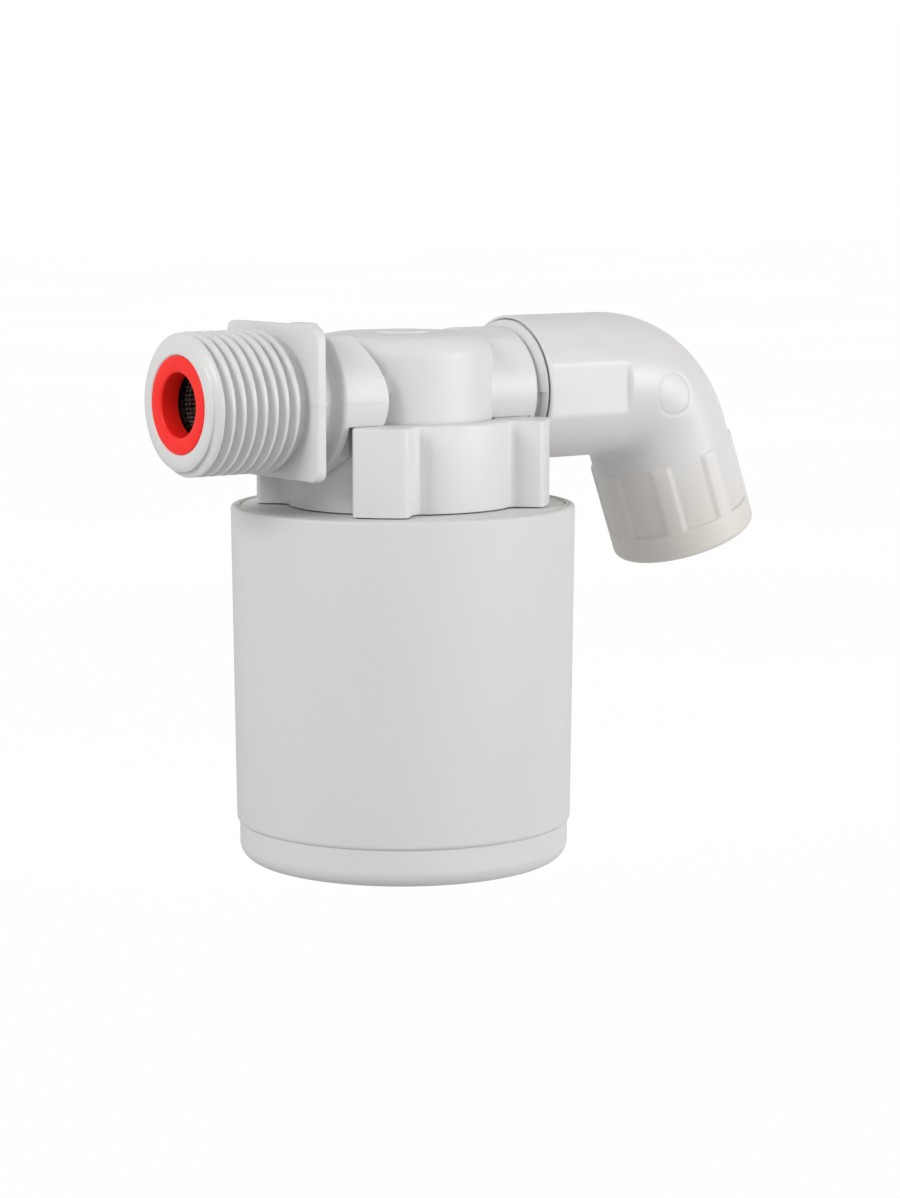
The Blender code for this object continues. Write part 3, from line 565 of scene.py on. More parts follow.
def metal(name, colour, shade, roughness):
    """Drawn or turned metal with fine lines round the part and patchy dullness."""
    material, tree, shader = new_material(name)
    shader.inputs["Metallic"].default_value = 1.0
    stains = noise_field(tree, 300, detail=4)
    tree.links.new(blend_colours(tree, stains, colour, shade), shader.inputs["Base Color"])
    lines = noise_field(tree, 900, detail=3, stretch=(1, 1, 14))
    tree.links.new(spread(tree, lines, roughness * 0.75, roughness * 1.3),
                   shader.inputs["Roughness"])
    tree.links.new(bump(tree, lines, 0.01 * MM), shader.inputs["Normal"])
    return material


def make_materials():
    rubber = moulded_plastic("black_rubber", (0.016, 0.016, 0.017), (0.030, 0.030, 0.030), 0.68,
                             grain=0.03, specular=0.35)
    return {
        "body": moulded_plastic("body_white", (0.664, 0.664, 0.657), (0.642, 0.643, 0.634), 0.40,
                                grain=0.012, waves=0.04),
        "nut": moulded_plastic("nut_white", (0.676, 0.679, 0.682), (0.656, 0.660, 0.665), 0.42,
                               grain=0.014, waves=0.05),
        "float": moulded_plastic("float_white", (0.630, 0.628, 0.634), (0.612, 0.611, 0.619), 0.55,
                                 grain=0.016, waves=0.07, specular=0.4, flow=(1, 1, 0.35)),
        # the elbow's tint below is painted warm shade on its lower part
        "elbow": moulded_plastic("elbow_white", (0.664, 0.653, 0.647), (0.644, 0.633, 0.626), 0.36,
                                 grain=0.004, waves=0.06, subsurface=0.25,
                                 painted_shade=PAINTED_WARM_SHADE),
        "red": moulded_plastic("ring_red", (0.93, 0.022, 0.014), (0.88, 0.016, 0.012), 0.34,
                               grain=0.006, waves=0.02, specular=0.25),
        "inner": moulded_plastic("inner_white", (0.71, 0.71, 0.69), (0.67, 0.67, 0.65), 0.42),
        "rubber": rubber,
        "screen": metal("screen_mesh", (0.024, 0.019, 0.017), (0.010, 0.008, 0.007), 0.45),
        "steel": metal("stainless", (0.62, 0.62, 0.61), (0.50, 0.50, 0.50), 0.30),
        "brass": metal("brass", (0.78, 0.57, 0.27), (0.62, 0.42, 0.18), 0.30),
        "seam": moulded_plastic("weld_seam", (0.66, 0.64, 0.56), (0.50, 0.47, 0.37), 0.6,
                                grain=0.05),
    }


# ---- valve body

def thread_radius(x, turn):
    """Radius of the inlet's outer face; turn is the angle in the lathe's own frame."""
    crest_turn = 3 * math.pi / 2
    waves = (x - THREAD_FIRST_CREST_X) / THREAD_PITCH - (turn - crest_turn) / (2 * math.pi)
    from_crest = abs(waves - round(waves)) * THREAD_PITCH
    slope = min(max((from_crest - THREAD_CREST_FLAT / 2) / THREAD_FLANK, 0.0), 1.0)
    rounded = (1 + math.cos(math.pi * slope)) / 2
    height = (1 - slope) * (1 - THREAD_ROUNDING) + rounded * THREAD_ROUNDING
    height *= 1 - smooth_step(x, *THREAD_END_X)
    radius = THREAD_ROOT_R + (THREAD_CREST_R - THREAD_ROOT_R) * height
    along = min((x - INLET_FACE_X) / INLET_NOSE_LENGTH, 1.0)
    nose = INLET_NOSE_R + (THREAD_CREST_R - INLET_NOSE_R) * math.sin(math.pi / 2 * along)
    return min(radius, nose)


def threaded_inlet():
    """Spigot with the pipe thread cut as one right-hand helix, and the collar behind the plate."""
    count = round((PLATE_X[0] - INLET_FACE_X) / THREAD_STEP)
    rings = [circle(0, INLET_FACE_X)]
    for k in range(count + 1):
        x = INLET_FACE_X + (PLATE_X[0] - INLET_FACE_X) * k / count
        ring = []
        for side in range(SIDES):
            turn = 2 * math.pi * side / SIDES
            radius = thread_radius(x, turn)
            ring.append(Vector((radius * math.cos(turn), radius * math.sin(turn), x)))
        rings.append(ring)
    rest = [(0, 0), (THREAD_ROOT_R, PLATE_X[0] + 0.1), (THREAD_ROOT_R, COLLAR_FRONT_X, 0.6),
            (COLLAR_R, COLLAR_FRONT_X, COLLAR_EDGE), (COLLAR_R, COLLAR_BACK_X),
            (0, COLLAR_BACK_X)]
    rings += [circle(radius, height) for radius, height in rounded(rest)[1:]]
    return skin(rings)


def rounded_plate():
    """Flange plate with round corners and softened edges, laid along the lathe's Z axis."""
    loops = []
    for inset, at in (edge_arc(PLATE_X[0], PLATE_EDGE, 1)
                      + edge_arc(PLATE_X[1], PLATE_EDGE, -1)[::-1]):
        z, y = PLATE_HALF_Z - inset, PLATE_HALF_Y - inset
        far_top, far_foot, near_foot, near_top = (corner - inset for corner in PLATE_CORNERS)
        outline = [(z, y, far_foot), (-z, y, far_top), (-z, -y, near_top), (z, -y, near_foot)]
        loops.append([Vector((a, b, at)) for a, b in rounded(outline, 8)])
    return strip(loops)


def seat_tube(radius, foot, end_x):
    """Bent solid rod from the valve seat up and round to the outlet."""
    centre = (SEAT_BEND_R, PASSAGE_Z - SEAT_BEND_R)
    stations = [(0, foot, 0.0)]
    steps = 14
    for k in range(steps + 1):
        turn = math.pi / 2 * k / steps
        stations.append((centre[0] - SEAT_BEND_R * math.cos(turn),
                         centre[1] + SEAT_BEND_R * math.sin(turn), turn))
    stations.append((end_x, PASSAGE_Z, math.pi / 2))
    sections = []
    for x, z, turn in stations:
        tilt = Matrix.Rotation(turn, 3, 'Y')
        sections.append([tilt @ point + Vector((x, 0, z)) for point in circle(radius, 0, 72)])
    return strip(sections)


def box_mesh(lowest, highest):
    """Plain block between two corners, used as a cutter or a thin rib."""
    (x0, y0, z0), (x1, y1, z1) = lowest, highest
    return prism([(x0, y0), (x1, y0), (x1, y1), (x0, y1)], z0, z1)


def crown_web():
    """Round-topped web, tangent to the drum, that narrows on to the collar."""
    drum_r = DRUM_R - 0.01
    tangent = math.pi - math.acos((drum_r - WEB_END_R) / -WEB_END_X)
    steps = 48
    sections = []
    for k in range(14):
        rise = math.pi / 2 * k / 13
        inset = DRUM_EDGE_R * (1 - math.cos(rise))
        height = DRUM_TOP_Z - 0.01 - DRUM_EDGE_R * (1 - math.sin(rise))
        section = []
        for step in range(steps + 1):
            turn = -tangent + 2 * tangent * step / steps
            section.append((drum_r - inset, turn, 0))
        for step in range(steps + 1):
            turn = tangent + 2 * (math.pi - tangent) * step / steps
            section.append((WEB_END_R - inset, turn, WEB_END_X))
        sections.append([Vector((x + radius * math.cos(turn), radius * math.sin(turn), height))
                         for radius, turn, x in section])
    foot = [Vector((point.x, point.y, AXIS_Z + 1)) for point in sections[0]]
    return strip([foot, *sections])


def cut_lobe_room(collar, start_x, end_x):
    """Cut the flanks of a collar away beside the nut's lobes."""
    for inner in (LOBE_ROOM_Y, -LOBE_ROOM_Y):
        outer = inner + math.copysign(LOBE_ROOM_WIDTH, inner)
        combine(collar, box_mesh((start_x, min(inner, outer), CUT_FOOT_Z),
                                 (end_x, max(inner, outer), NUT_CLEARANCE_Z)), 'DIFFERENCE')


def cut_nut_room(tube):
    """Cut the room of the nut out of a lying tube."""
    room = [(0, CUT_FOOT_Z), (0, NUT_CLEARANCE_Z), (NUT_CLEARANCE_R, NUT_CLEARANCE_Z),
            (NUT_CLEARANCE_R, CUT_FOOT_Z)]
    combine(tube, turned(room, SIDES, 0.25), 'DIFFERENCE')


def add_inlet(body):
    """Threaded inlet, its collar and neck, and the web that joins them to the drum's crown."""
    inlet = combine(body, threaded_inlet(), 'UNION', LIE_ALONG_X)
    sweep = [(0, CUT_FOOT_Z), (0, CUT_TOP_Z), (COLLAR_SWEEP_R, CUT_TOP_Z),
             (COLLAR_SWEEP_R, NUT_CLEARANCE_Z), (NUT_CLEARANCE_R, NUT_CLEARANCE_Z),
             (NUT_CLEARANCE_R, CUT_FOOT_Z)]
    combine(inlet, turned(sweep, SIDES, 0.5), 'DIFFERENCE')
    cut_lobe_room(inlet, LOBE_ROOM_X[0], COLLAR_BACK_X + 1)
    combine(inlet, box_mesh((COLLAR_FRONT_X - 0.3, -14, COLLAR_TOP_Z),
                            (COLLAR_BACK_X + 1, 14, COLLAR_TOP_Z + 5)), 'DIFFERENCE')
    neck = [(0, COLLAR_FRONT_X - 1), (NECK_R, COLLAR_FRONT_X - 1), (NECK_R, NECK_END_X),
            (0, NECK_END_X)]
    cut_nut_room(combine(body, turned(neck, 144, 0.5), 'UNION', LIE_ALONG_X))
    combine(body, crown_web(), 'UNION')


def add_plate(body):
    """Flange plate with its lug, and the parting line across the plate and the collar."""
    combine(body, rounded_plate(), 'UNION', LIE_ALONG_X)
    lug_start, lug_end = PLATE_LUG_Y
    lug_top = AXIS_Z - PLATE_LUG_TOP_Z
    lug = [(-9, lug_start), (lug_top, lug_start, 0.6), (lug_top, lug_end, 0.25), (-9, lug_end)]
    combine(body, prism(rounded(lug), PLATE_X[0] + 0.06, PLATE_X[1] - 0.06), 'UNION', LIE_ALONG_X)
    across_plate = (PLATE_X[0] - PARTING_STAND, PLATE_X[1] + PARTING_STAND)
    for (start_x, end_x), radius in ((across_plate, PLATE_HALF_Y), (PARTING_COLLAR_X, COLLAR_R)):
        half_y = radius + PARTING_STAND
        combine(body, box_mesh((start_x, -half_y, AXIS_Z - PARTING_HEIGHT / 2),
                               (end_x, half_y, AXIS_Z + PARTING_HEIGHT / 2)), 'UNION')


def add_outlet(body):
    """Outlet collar and grooved spigot, with the pale ring before the elbow's mouth."""
    outlet = [(0, OUTLET_COLLAR_X), (OUTLET_COLLAR_R, OUTLET_COLLAR_X),
              (OUTLET_COLLAR_R, SHOULDER_X, 0.5), (SHOULDER_R - 0.5, SHOULDER_X),
              (SPIGOT_R, SHOULDER_X + 0.2)]
    for radius, (start, end) in ((ORING_GROOVE_R, ORING_GROOVE_X), (CLIP_GROOVE_R, CLIP_GROOVE_X)):
        outlet += [(SPIGOT_R, start, 0.15), (radius, start), (radius, end), (SPIGOT_R, end, 0.15)]
    outlet += [(SPIGOT_R, SPIGOT_END_X, 0.5), (0, SPIGOT_END_X)]
    outlet_piece = combine(body, turned(outlet, 176), 'UNION', LIE_ALONG_X)
    cut_nut_room(outlet_piece)
    cut_lobe_room(outlet_piece, LOBE_ROOM_OUTLET_X, LOBE_ROOM_X[1])
    (ring_in, ring_out), (ring_start, ring_end) = GAP_RING_R, GAP_RING_X
    gap_ring = [(ring_in, ring_start), (ring_out, ring_start, 0.06), (ring_out, ring_end),
                (ring_in, ring_end)]
    combine(body, turned(gap_ring, 160, 0.25), 'UNION', LIE_ALONG_X)
    slope = [(ring_in, GAP_RING_FRONT_X), (ring_in + 0.3, GAP_RING_FRONT_X, 0.1),
             (ring_out - 0.02, ring_start - 0.1, 0.06), (ring_out - 0.02, ring_end - 0.02),
             (ring_in, ring_end - 0.02)]
    slope_piece = combine(body, turned(slope, 144, 0.5), 'UNION', LIE_ALONG_X)
    combine(slope_piece, box_mesh((GAP_RING_FRONT_X - 1, -14, AXIS_Z - 14),
                                  (ring_end + 1, 14, AXIS_Z - 0.1)), 'DIFFERENCE')


def add_gate_boss(body):
    """Low round boss with a dimple in the middle of the drum's top."""
    boss_top = DRUM_TOP_Z + GATE_BOSS_HEIGHT
    boss = [(0, DRUM_TOP_Z - 0.5), (GATE_BOSS_R, DRUM_TOP_Z - 0.5), (GATE_BOSS_R, boss_top, 0.25),
            (0.6, boss_top, 0.1), (0.5, DRUM_TOP_Z), (0, DRUM_TOP_Z)]
    combine(body, turned(boss, 96, 0.5), 'UNION')


def cut_waterways(body):
    """Drum's cavity, the bent tube from the valve seat to the outlet, and the inlet's bores."""
    cavity_foot = CLAMP_FLANGE_Z[0] - 5
    cavity = [(0, cavity_foot), (0, DRUM_CAVITY_TOP_Z), (DRUM_CAVITY_R, DRUM_CAVITY_TOP_Z, 1.0),
              (DRUM_CAVITY_R, cavity_foot)]
    combine(body, turned(cavity, 160, 0.5), 'DIFFERENCE')
    combine(body, seat_tube(SEAT_TUBE_R, SEAT_Z, DRUM_R - 1), 'UNION')
    combine(body, seat_tube(SEAT_BORE_R, SEAT_Z - 3, SPIGOT_BORE_X + 1.3), 'DIFFERENCE')
    waterway = [(0, SPIGOT_BORE_X), (SPIGOT_BORE_R, SPIGOT_BORE_X),
                (SPIGOT_BORE_R, SPIGOT_END_X + 1), (0, SPIGOT_END_X + 1)]
    combine(body, turned(waterway, 120, 0.5), 'DIFFERENCE', LIE_ALONG_X)
    bore = [(0, INLET_FACE_X - 1), (RING_SEAT_R + 1.2, INLET_FACE_X - 1),
            (RING_SEAT_R, INLET_FACE_X + 0.2), (RING_SEAT_R, RING_SEAT_X),
            (INLET_BORE_R, RING_SEAT_X), (INLET_BORE_R, INLET_BORE_END_X), (0, INLET_BORE_END_X)]
    combine(body, turned(bore, 120, 0.5), 'DIFFERENCE', LIE_ALONG_X)
    passage = [(0, INLET_BORE_END_X - 0.8), (INLET_PASSAGE_R, INLET_BORE_END_X - 0.8),
               (INLET_PASSAGE_R, 1 - DRUM_CAVITY_R), (0, 1 - DRUM_CAVITY_R)]
    along_passage = Matrix.Translation((0, 0, PASSAGE_Z - AXIS_Z)) @ LIE_ALONG_X
    combine(body, turned(passage, 72, 0.25), 'DIFFERENCE', along_passage)


def make_valve_body(materials):
    base, top = CLAMP_FLANGE_Z
    drum = [(0, DRUM_TOP_Z), (DRUM_R, DRUM_TOP_Z, DRUM_EDGE_R), (DRUM_R, top, 0.4),
            (CLAMP_FLANGE_R, top, 0.3), (CLAMP_FLANGE_R, base, 0.3), (0, base)]
    body = new_piece("body_shell", turned(drum, SIDES, steps=14))
    add_inlet(body)
    add_plate(body)
    add_outlet(body)
    add_gate_boss(body)
    cut_waterways(body)
    bake_down(body)
    place(body, materials["body"], "valve", "body_white", "valve_body")


# ---- ring and strainer

def make_filter_ring(materials):
    face = INLET_FACE_X + 0.02
    ring_r = RING_SEAT_R - RING_GAP
    ring = [(RING_BORE_R, face, RING_BORE_EDGE), (ring_r, face, RING_RIM_EDGE),
            (ring_r, RING_BACK_X), (RING_BORE_R, RING_BACK_X, 0.2)]
    ring_piece = new_piece("red_ring", turned(ring, 160), LIE_ALONG_X)
    place(ring_piece, materials["red"], "valve", "ring_red", "filter_ring")


def add_wire(bm, points, closed):
    """Thin square wire through a row of points, each with the direction of its outer side."""
    centre_line = points + points[:1] if closed else points
    sections = []
    for k, (point, out) in enumerate(centre_line[:-1] if closed else centre_line):
        after = centre_line[min(k + 1, len(centre_line) - 1)][0]
        before = centre_line[k - 1][0] if k or closed else point
        ahead = (after - before).normalized()
        side = ahead.cross(out).normalized()
        sections.append([bm.verts.new(point + SCREEN_WIRE * (a * out + b * side))
                         for a, b in ((1, 0), (0, 1), (-1, 0), (0, -1))])
    for near, far in zip(sections, sections[1:] + (sections[:1] if closed else [])):
        for k in range(4):
            bm.faces.new((near[k], near[(k + 1) % 4], far[(k + 1) % 4], far[k]))
    if not closed:
        bm.faces.new(sections[0])
        bm.faces.new(sections[-1])


def weave_wall(bm, basket_r, front, end):
    """Long wires and hoops that pass over and under each other round the basket."""
    for k in range(SCREEN_LONG_WIRES):
        out = outwards(2 * math.pi * k / SCREEN_LONG_WIRES)
        points = []
        for step in range(2 * SCREEN_HOOPS + 1):
            lift = SCREEN_WEAVE * (1 if (step // 2 + k) % 2 else -1) * (step % 2)
            height = front + (end - front) * step / (2 * SCREEN_HOOPS)
            points.append((out * (basket_r + lift) + Vector((0, 0, height)), out))
        add_wire(bm, points, False)
    for hoop in range(SCREEN_HOOPS):
        height = front + (end - front) * (2 * hoop + 1) / (2 * SCREEN_HOOPS)
        points = []
        for k in range(SCREEN_LONG_WIRES):
            out = outwards(2 * math.pi * k / SCREEN_LONG_WIRES)
            lift = -SCREEN_WEAVE * (1 if (hoop + k) % 2 else -1)
            points.append((out * (basket_r + lift) + Vector((0, 0, height)), out))
        add_wire(bm, points, True)


def weave_end(bm, basket_r, height):
    """Flat woven end of the basket, its wires as far apart as the wall's long wires."""
    spacing = 2 * math.pi * basket_r / SCREEN_LONG_WIRES
    rows = int(basket_r / spacing)
    for row in range(-rows, rows + 1):
        reach = math.sqrt(basket_r ** 2 - (row * spacing) ** 2)
        for across in (0, 1):
            points = []
            steps = max(int(2 * reach / spacing), 2)
            for step in range(steps + 1):
                along = -reach + 2 * reach * step / steps
                lift = SCREEN_WEAVE * (1 if (step + row + across) % 2 else -1)
                place_at = (row * spacing, along) if across else (along, row * spacing)
                points.append((Vector((*place_at, height + lift)), Vector((0, 0, 1))))
            add_wire(bm, points, False)


def make_screen(materials):
    """Woven strainer basket with the rim that lies behind the red ring."""
    basket_r = INLET_BORE_R - SCREEN_GAP
    front = RING_BACK_X + 0.3
    bm = bmesh.new()
    weave_wall(bm, basket_r, front, SCREEN_END_X - 0.15)
    weave_end(bm, basket_r, SCREEN_END_X - 0.2)
    rim_in, wall_r, rim_back = basket_r - 0.1, basket_r + 0.04, RING_SEAT_X - 0.3
    rim = [(rim_in, front, 0.1), (RING_R, front, 0.1), (RING_R, rim_back, 0.1),
           (wall_r, rim_back), (wall_r, front + SCREEN_RIM_LIP), (rim_in, front + SCREEN_RIM_LIP)]
    rim_mesh = turned(rim, 96)
    joined = bpy.data.meshes.new("screen_rim")
    rim_mesh.to_mesh(joined)
    rim_mesh.free()
    bm.from_mesh(joined)
    bpy.data.meshes.remove(joined)
    bmesh.ops.recalc_face_normals(bm, faces=bm.faces)
    basket = new_piece("woven_screen", bm, LIE_ALONG_X)
    place(basket, materials["screen"], "valve", "screen_mesh", "filter_screen")


# ---- union nut and housing

def nut_outline():
    """Lobes with parallel flanks round a barrel, as points in the nut's plane."""
    half = NUT_LOBE_HALF_WIDTH
    outer_turn = math.asin(half / NUT_LOBE_R)
    root_turn = math.asin(half / NUT_ROOT_R)
    quarter = 2 * math.pi / NUT_LOBES

    def at(radius, turn):
        return (radius * math.cos(turn), radius * math.sin(turn))

    points = []
    for lobe in range(NUT_LOBES):
        middle = NUT_TURN + lobe * quarter
        root_in, root_out = at(NUT_ROOT_R, middle - root_turn), at(NUT_ROOT_R, middle + root_turn)
        tip_in, tip_out = at(NUT_LOBE_R, middle - outer_turn), at(NUT_LOBE_R, middle + outer_turn)
        valley_in = at(NUT_ROOT_R, middle - quarter / 2)
        valley_out = at(NUT_ROOT_R, middle + quarter / 2)
        crown = [at(NUT_LOBE_R, middle + outer_turn * part / 4) for part in (-2, -1, 0, 1, 2)]
        points += rounded_corner(valley_in, root_in, tip_in, NUT_FILLET_R, 8)
        points += rounded_corner(root_in, tip_in, crown[0], NUT_CORNER_R, 6)
        points += crown
        points += rounded_corner(crown[-1], tip_out, root_out, NUT_CORNER_R, 6)
        points += rounded_corner(tip_out, root_out, valley_out, NUT_FILLET_R, 8)
        span = quarter - 2 * root_turn
        points += [at(NUT_ROOT_R, middle + root_turn + span * part / 24) for part in range(3, 22)]
    return points


def inset_outline(points, inset):
    """Closed outline moved towards its inside, counter-clockwise points in, same number out."""
    moved = []
    for k, point in enumerate(points):
        ahead = Vector(points[(k + 1) % len(points)]) - Vector(points[k - 1])
        inward = Vector((-ahead.y, ahead.x)).normalized()
        moved.append(tuple(Vector(point) + inward * inset))
    return moved


def make_union_nut(materials):
    outline = nut_outline()
    turns = [math.atan2(y, x) for x, y in outline]

    inner = [(NUT_LIP_R, NUT_TOP_Z, 0.25), (NUT_LIP_R, NUT_LIP_Z), (NUT_BORE_R, NUT_LIP_Z),
             (NUT_BORE_R, NUT_FOOT_Z, 0.3)]
    inside = rounded([*inner, (NUT_ROOT_R, NUT_FOOT_Z), (NUT_ROOT_R, NUT_TOP_Z)])[:-2]
    flank = edge_arc(NUT_FOOT_Z, NUT_FOOT_EDGE, 1) + edge_arc(NUT_TOP_Z, NUT_EDGE, -1)[::-1]
    rings = [[Vector((x, y, at)) for x, y in inset_outline(outline, inset)]
             for inset, at in flank]
    rings += [[Vector((radius * math.cos(t), radius * math.sin(t), height)) for t in turns]
              for radius, height in inside]
    nut = new_piece("lobed_nut", skin(rings))
    place(nut, materials["nut"], "valve", "shell_white", "union_nut")


def make_pilot_housing(materials):
    groove_in, groove_out, groove_z = HOUSING_GROOVE
    stem_groove_r, stem_groove_low, stem_groove_high = STEM_GROOVE
    nozzle_r, nozzle_z = NOZZLE_SEAT
    outline = [(PILOT_PASSAGE_R, CYLINDER_FLOOR_Z), (CYLINDER_R, CYLINDER_FLOOR_Z, 0.4),
               (CYLINDER_R, HOUSING_TOP_Z, 0.2), (groove_in, HOUSING_TOP_Z), (groove_in, groove_z),
               (groove_out, groove_z), (groove_out, HOUSING_TOP_Z),
               (HOUSING_R, HOUSING_TOP_Z, 0.3), (HOUSING_R, HOUSING_UNDERSIDE_Z, 0.4),
               (STEM_R, HOUSING_UNDERSIDE_Z, 0.8),
               (STEM_R, stem_groove_high, 0.2), (stem_groove_r, stem_groove_high),
               (stem_groove_r, stem_groove_low), (STEM_R, stem_groove_low, 0.2),
               (STEM_R, STEM_END_Z, 0.6), (nozzle_r, STEM_END_Z), (nozzle_r, nozzle_z),
               (PILOT_PASSAGE_R, nozzle_z)]
    housing = new_piece("housing_and_stem", turned(outline, 160))
    rib = [(STEM_R - 1, -KEY_HALF_WIDTH), (KEY_R, -KEY_HALF_WIDTH, 0.3),
           (KEY_R, KEY_HALF_WIDTH, 0.3), (STEM_R - 1, KEY_HALF_WIDTH)]
    combine(housing, prism(rounded(rib, 3), stem_groove_high + 0.2, HOUSING_UNDERSIDE_Z + 0.5),
            'UNION')
    bake_down(housing)
    place(housing, materials["inner"], "valve", "inner_white", "pilot_housing")


def make_piston_spring(materials):
    """Round-wire spring between its two fixed ends."""
    lowest, highest = low("piston_spring").z, high("piston_spring").z
    reach = high("piston_spring").x - SPRING_WIRE_R
    start, end = lowest + SPRING_WIRE_R, highest - SPRING_WIRE_R
    per_turn = 48
    count = SPRING_TURNS * per_turn
    slope = math.atan2(end - start, 2 * math.pi * reach * SPRING_TURNS)
    sections = []
    for k in range(count + 1):
        turn = 2 * math.pi * k / per_turn
        centre = Vector((reach * math.cos(turn), reach * math.sin(turn),
                         start + (end - start) * k / count))
        tilt = Matrix.Rotation(turn, 3, 'Z') @ Matrix.Rotation(math.pi / 2 + slope, 3, 'X')
        sections.append([centre + tilt @ point for point in circle(SPRING_WIRE_R, 0, 12)])
    spring = new_piece("coil_spring", strip(sections))
    place(spring, materials["steel"], "valve", "stainless", "piston_spring")
    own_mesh(spring)


# ---- float

def make_float(materials):
    ledge_z = LID_UNDERSIDE_Z - LID_LEDGE
    lid_top = FLOAT_TOP_Z - LID_DROP
    barrel = [(FLOAT_BORE_R, FLOAT_FOOT_Z), (FLOAT_FOOT_R, FLOAT_FOOT_Z, FLOAT_FOOT_EDGE),
              (FLOAT_TOP_R, FLOAT_TOP_Z, FLOAT_RIM), (LID_R + 0.3, FLOAT_TOP_Z, 0.2),
              (LID_R + 0.3, ledge_z), (FLOAT_BORE_R, ledge_z)]
    shell = new_piece("float_shell", turned(barrel, FLOAT_SIDES))
    place(shell, materials["float"], "float", "shell_white", "float_barrel")

    lid_outline = [(LID_HOLE_R, LID_UNDERSIDE_Z), (LID_R, LID_UNDERSIDE_Z), (LID_R, lid_top, 0.25),
                   (LID_HOLE_R, lid_top, 0.4)]
    lid = new_piece("float_cover", turned(lid_outline, FLOAT_SIDES))
    slot_half = KEY_HALF_WIDTH + KEY_SLOT_GAP
    combine(lid, box_mesh((LID_HOLE_R - 1, -slot_half, LID_UNDERSIDE_Z - 1),
                          (KEY_R + 0.5, slot_half, FLOAT_TOP_Z + 1)), 'DIFFERENCE')
    bake_down(lid)
    place(lid, materials["float"], "float", "shell_white", "float_lid")

    plug_r = FLOAT_BORE_R - 0.3
    step_z = FLOAT_FOOT_Z - FLOAT_FOOT_GAP
    arc_r = FLOAT_FOOT_R - FLOAT_FOOT_EDGE
    # the base's step follows the round edge of the barrel's foot
    lip = [(r, step_z + FLOAT_FOOT_EDGE - math.sqrt(FLOAT_FOOT_EDGE ** 2 - (r - arc_r) ** 2))
           for r in (BASE_R - (BASE_R - arc_r) * k / 4 for k in range(5))]
    base = [(0, 0), (BASE_R, 0, BASE_EDGE_R), *lip,
            (plug_r, step_z), (plug_r, BASE_PLUG_Z), (plug_r - BASE_WALL, BASE_PLUG_Z),
            (plug_r - BASE_WALL, BASE_WALL), (0, BASE_WALL)]
    cap = new_piece("float_cap", turned(base, FLOAT_SIDES, steps=12))
    place(cap, materials["float"], "float", "shell_white", "float_base")


def make_weld_seam(materials):
    """Uneven bead where the float's lid is welded into the barrel's rim."""
    rings = []
    count = 360
    for k in range(count):
        out = outwards(2 * math.pi * k / count)
        wander = noise.noise(out * 5.0) * 0.16 + noise.noise(out * 19.0) * 0.07
        lump = noise.noise(out * 9.0 + Vector((7, 0, 0))) + noise.noise(out * 31.0)
        fat = SEAM_SIZE[0] + SEAM_SIZE[1] * lump
        middle = out * (SEAM_R + wander) + Vector((0, 0, FLOAT_TOP_Z - 0.1))
        rings.append([middle + fat * (math.cos(a) * out + math.sin(a) * Vector((0, 0, 1)))
                      for a in (2 * math.pi * side / 8 for side in range(8))])
    seam = new_piece("float_weld_seam", skin(rings))
    place(seam, materials["seam"], "float", "shell_white")


# ---- elbow

def elbow_station(along):
    """Centre and heading, about Y from +X, at a length along the elbow's centre line."""
    bend_length = ELBOW_BEND_R * ELBOW_BEND
    turn = min(max(along - ELBOW_STRAIGHT, 0) / ELBOW_BEND_R, ELBOW_BEND)
    straight = min(along, ELBOW_STRAIGHT)
    tail = max(along - ELBOW_STRAIGHT - bend_length, 0)
    x = ELBOW_MOUTH_X + straight + ELBOW_BEND_R * math.sin(turn) + tail * math.cos(turn)
    z = AXIS_Z - ELBOW_BEND_R * (1 - math.cos(turn)) - tail * math.sin(turn)
    return Vector((x, 0, z)), turn


def elbow_outer_radius(turn, along):
    """Outer radius of the elbow; turn is 0 on the side that faces -Y and grows upwards."""
    bend_end = ELBOW_STRAIGHT + ELBOW_BEND_R * ELBOW_BEND
    past_bend = along - bend_end
    end = bend_end + TAIL_LENGTH
    radius = ELBOW_R
    for middle, depth, length in FLATS:
        off_flat = abs((turn - math.radians(middle) + math.pi) % (2 * math.pi) - math.pi)
        sunk = ELBOW_R - (ELBOW_R - depth) / max(math.cos(off_flat), 0.1)
        sunk = FLAT_BLEND * math.log1p(math.exp(max(sunk, -1.0) / FLAT_BLEND))
        sunk *= smooth_step(along, 0.3, 0.75)
        radius -= sunk * (1 - smooth_step(along, length - 0.8, length))
    pitch = 2 * math.pi / RIB_COUNT
    off_rib = abs((turn - RIB_TURN + pitch / 2) % pitch - pitch / 2)
    rib = 1 - smooth_step(off_rib, RIB_WIDTH / 2 - 0.03, RIB_WIDTH / 2 + 0.05)
    rib *= smooth_step(past_bend, TAIL_RIB_START, TAIL_RIB_START + 0.7)
    rim = smooth_step(past_bend, TAIL_RIM_START, TAIL_RIM_START + 0.35)
    radius += (TAIL_R - ELBOW_R) * max(rib, rim)
    for reach, edge in ((along, ELBOW_MOUTH_EDGE), (end - along, TAIL_EDGE)):
        if reach < edge:
            radius -= edge - math.sqrt(max(edge ** 2 - (edge - reach) ** 2, 0))
    return radius


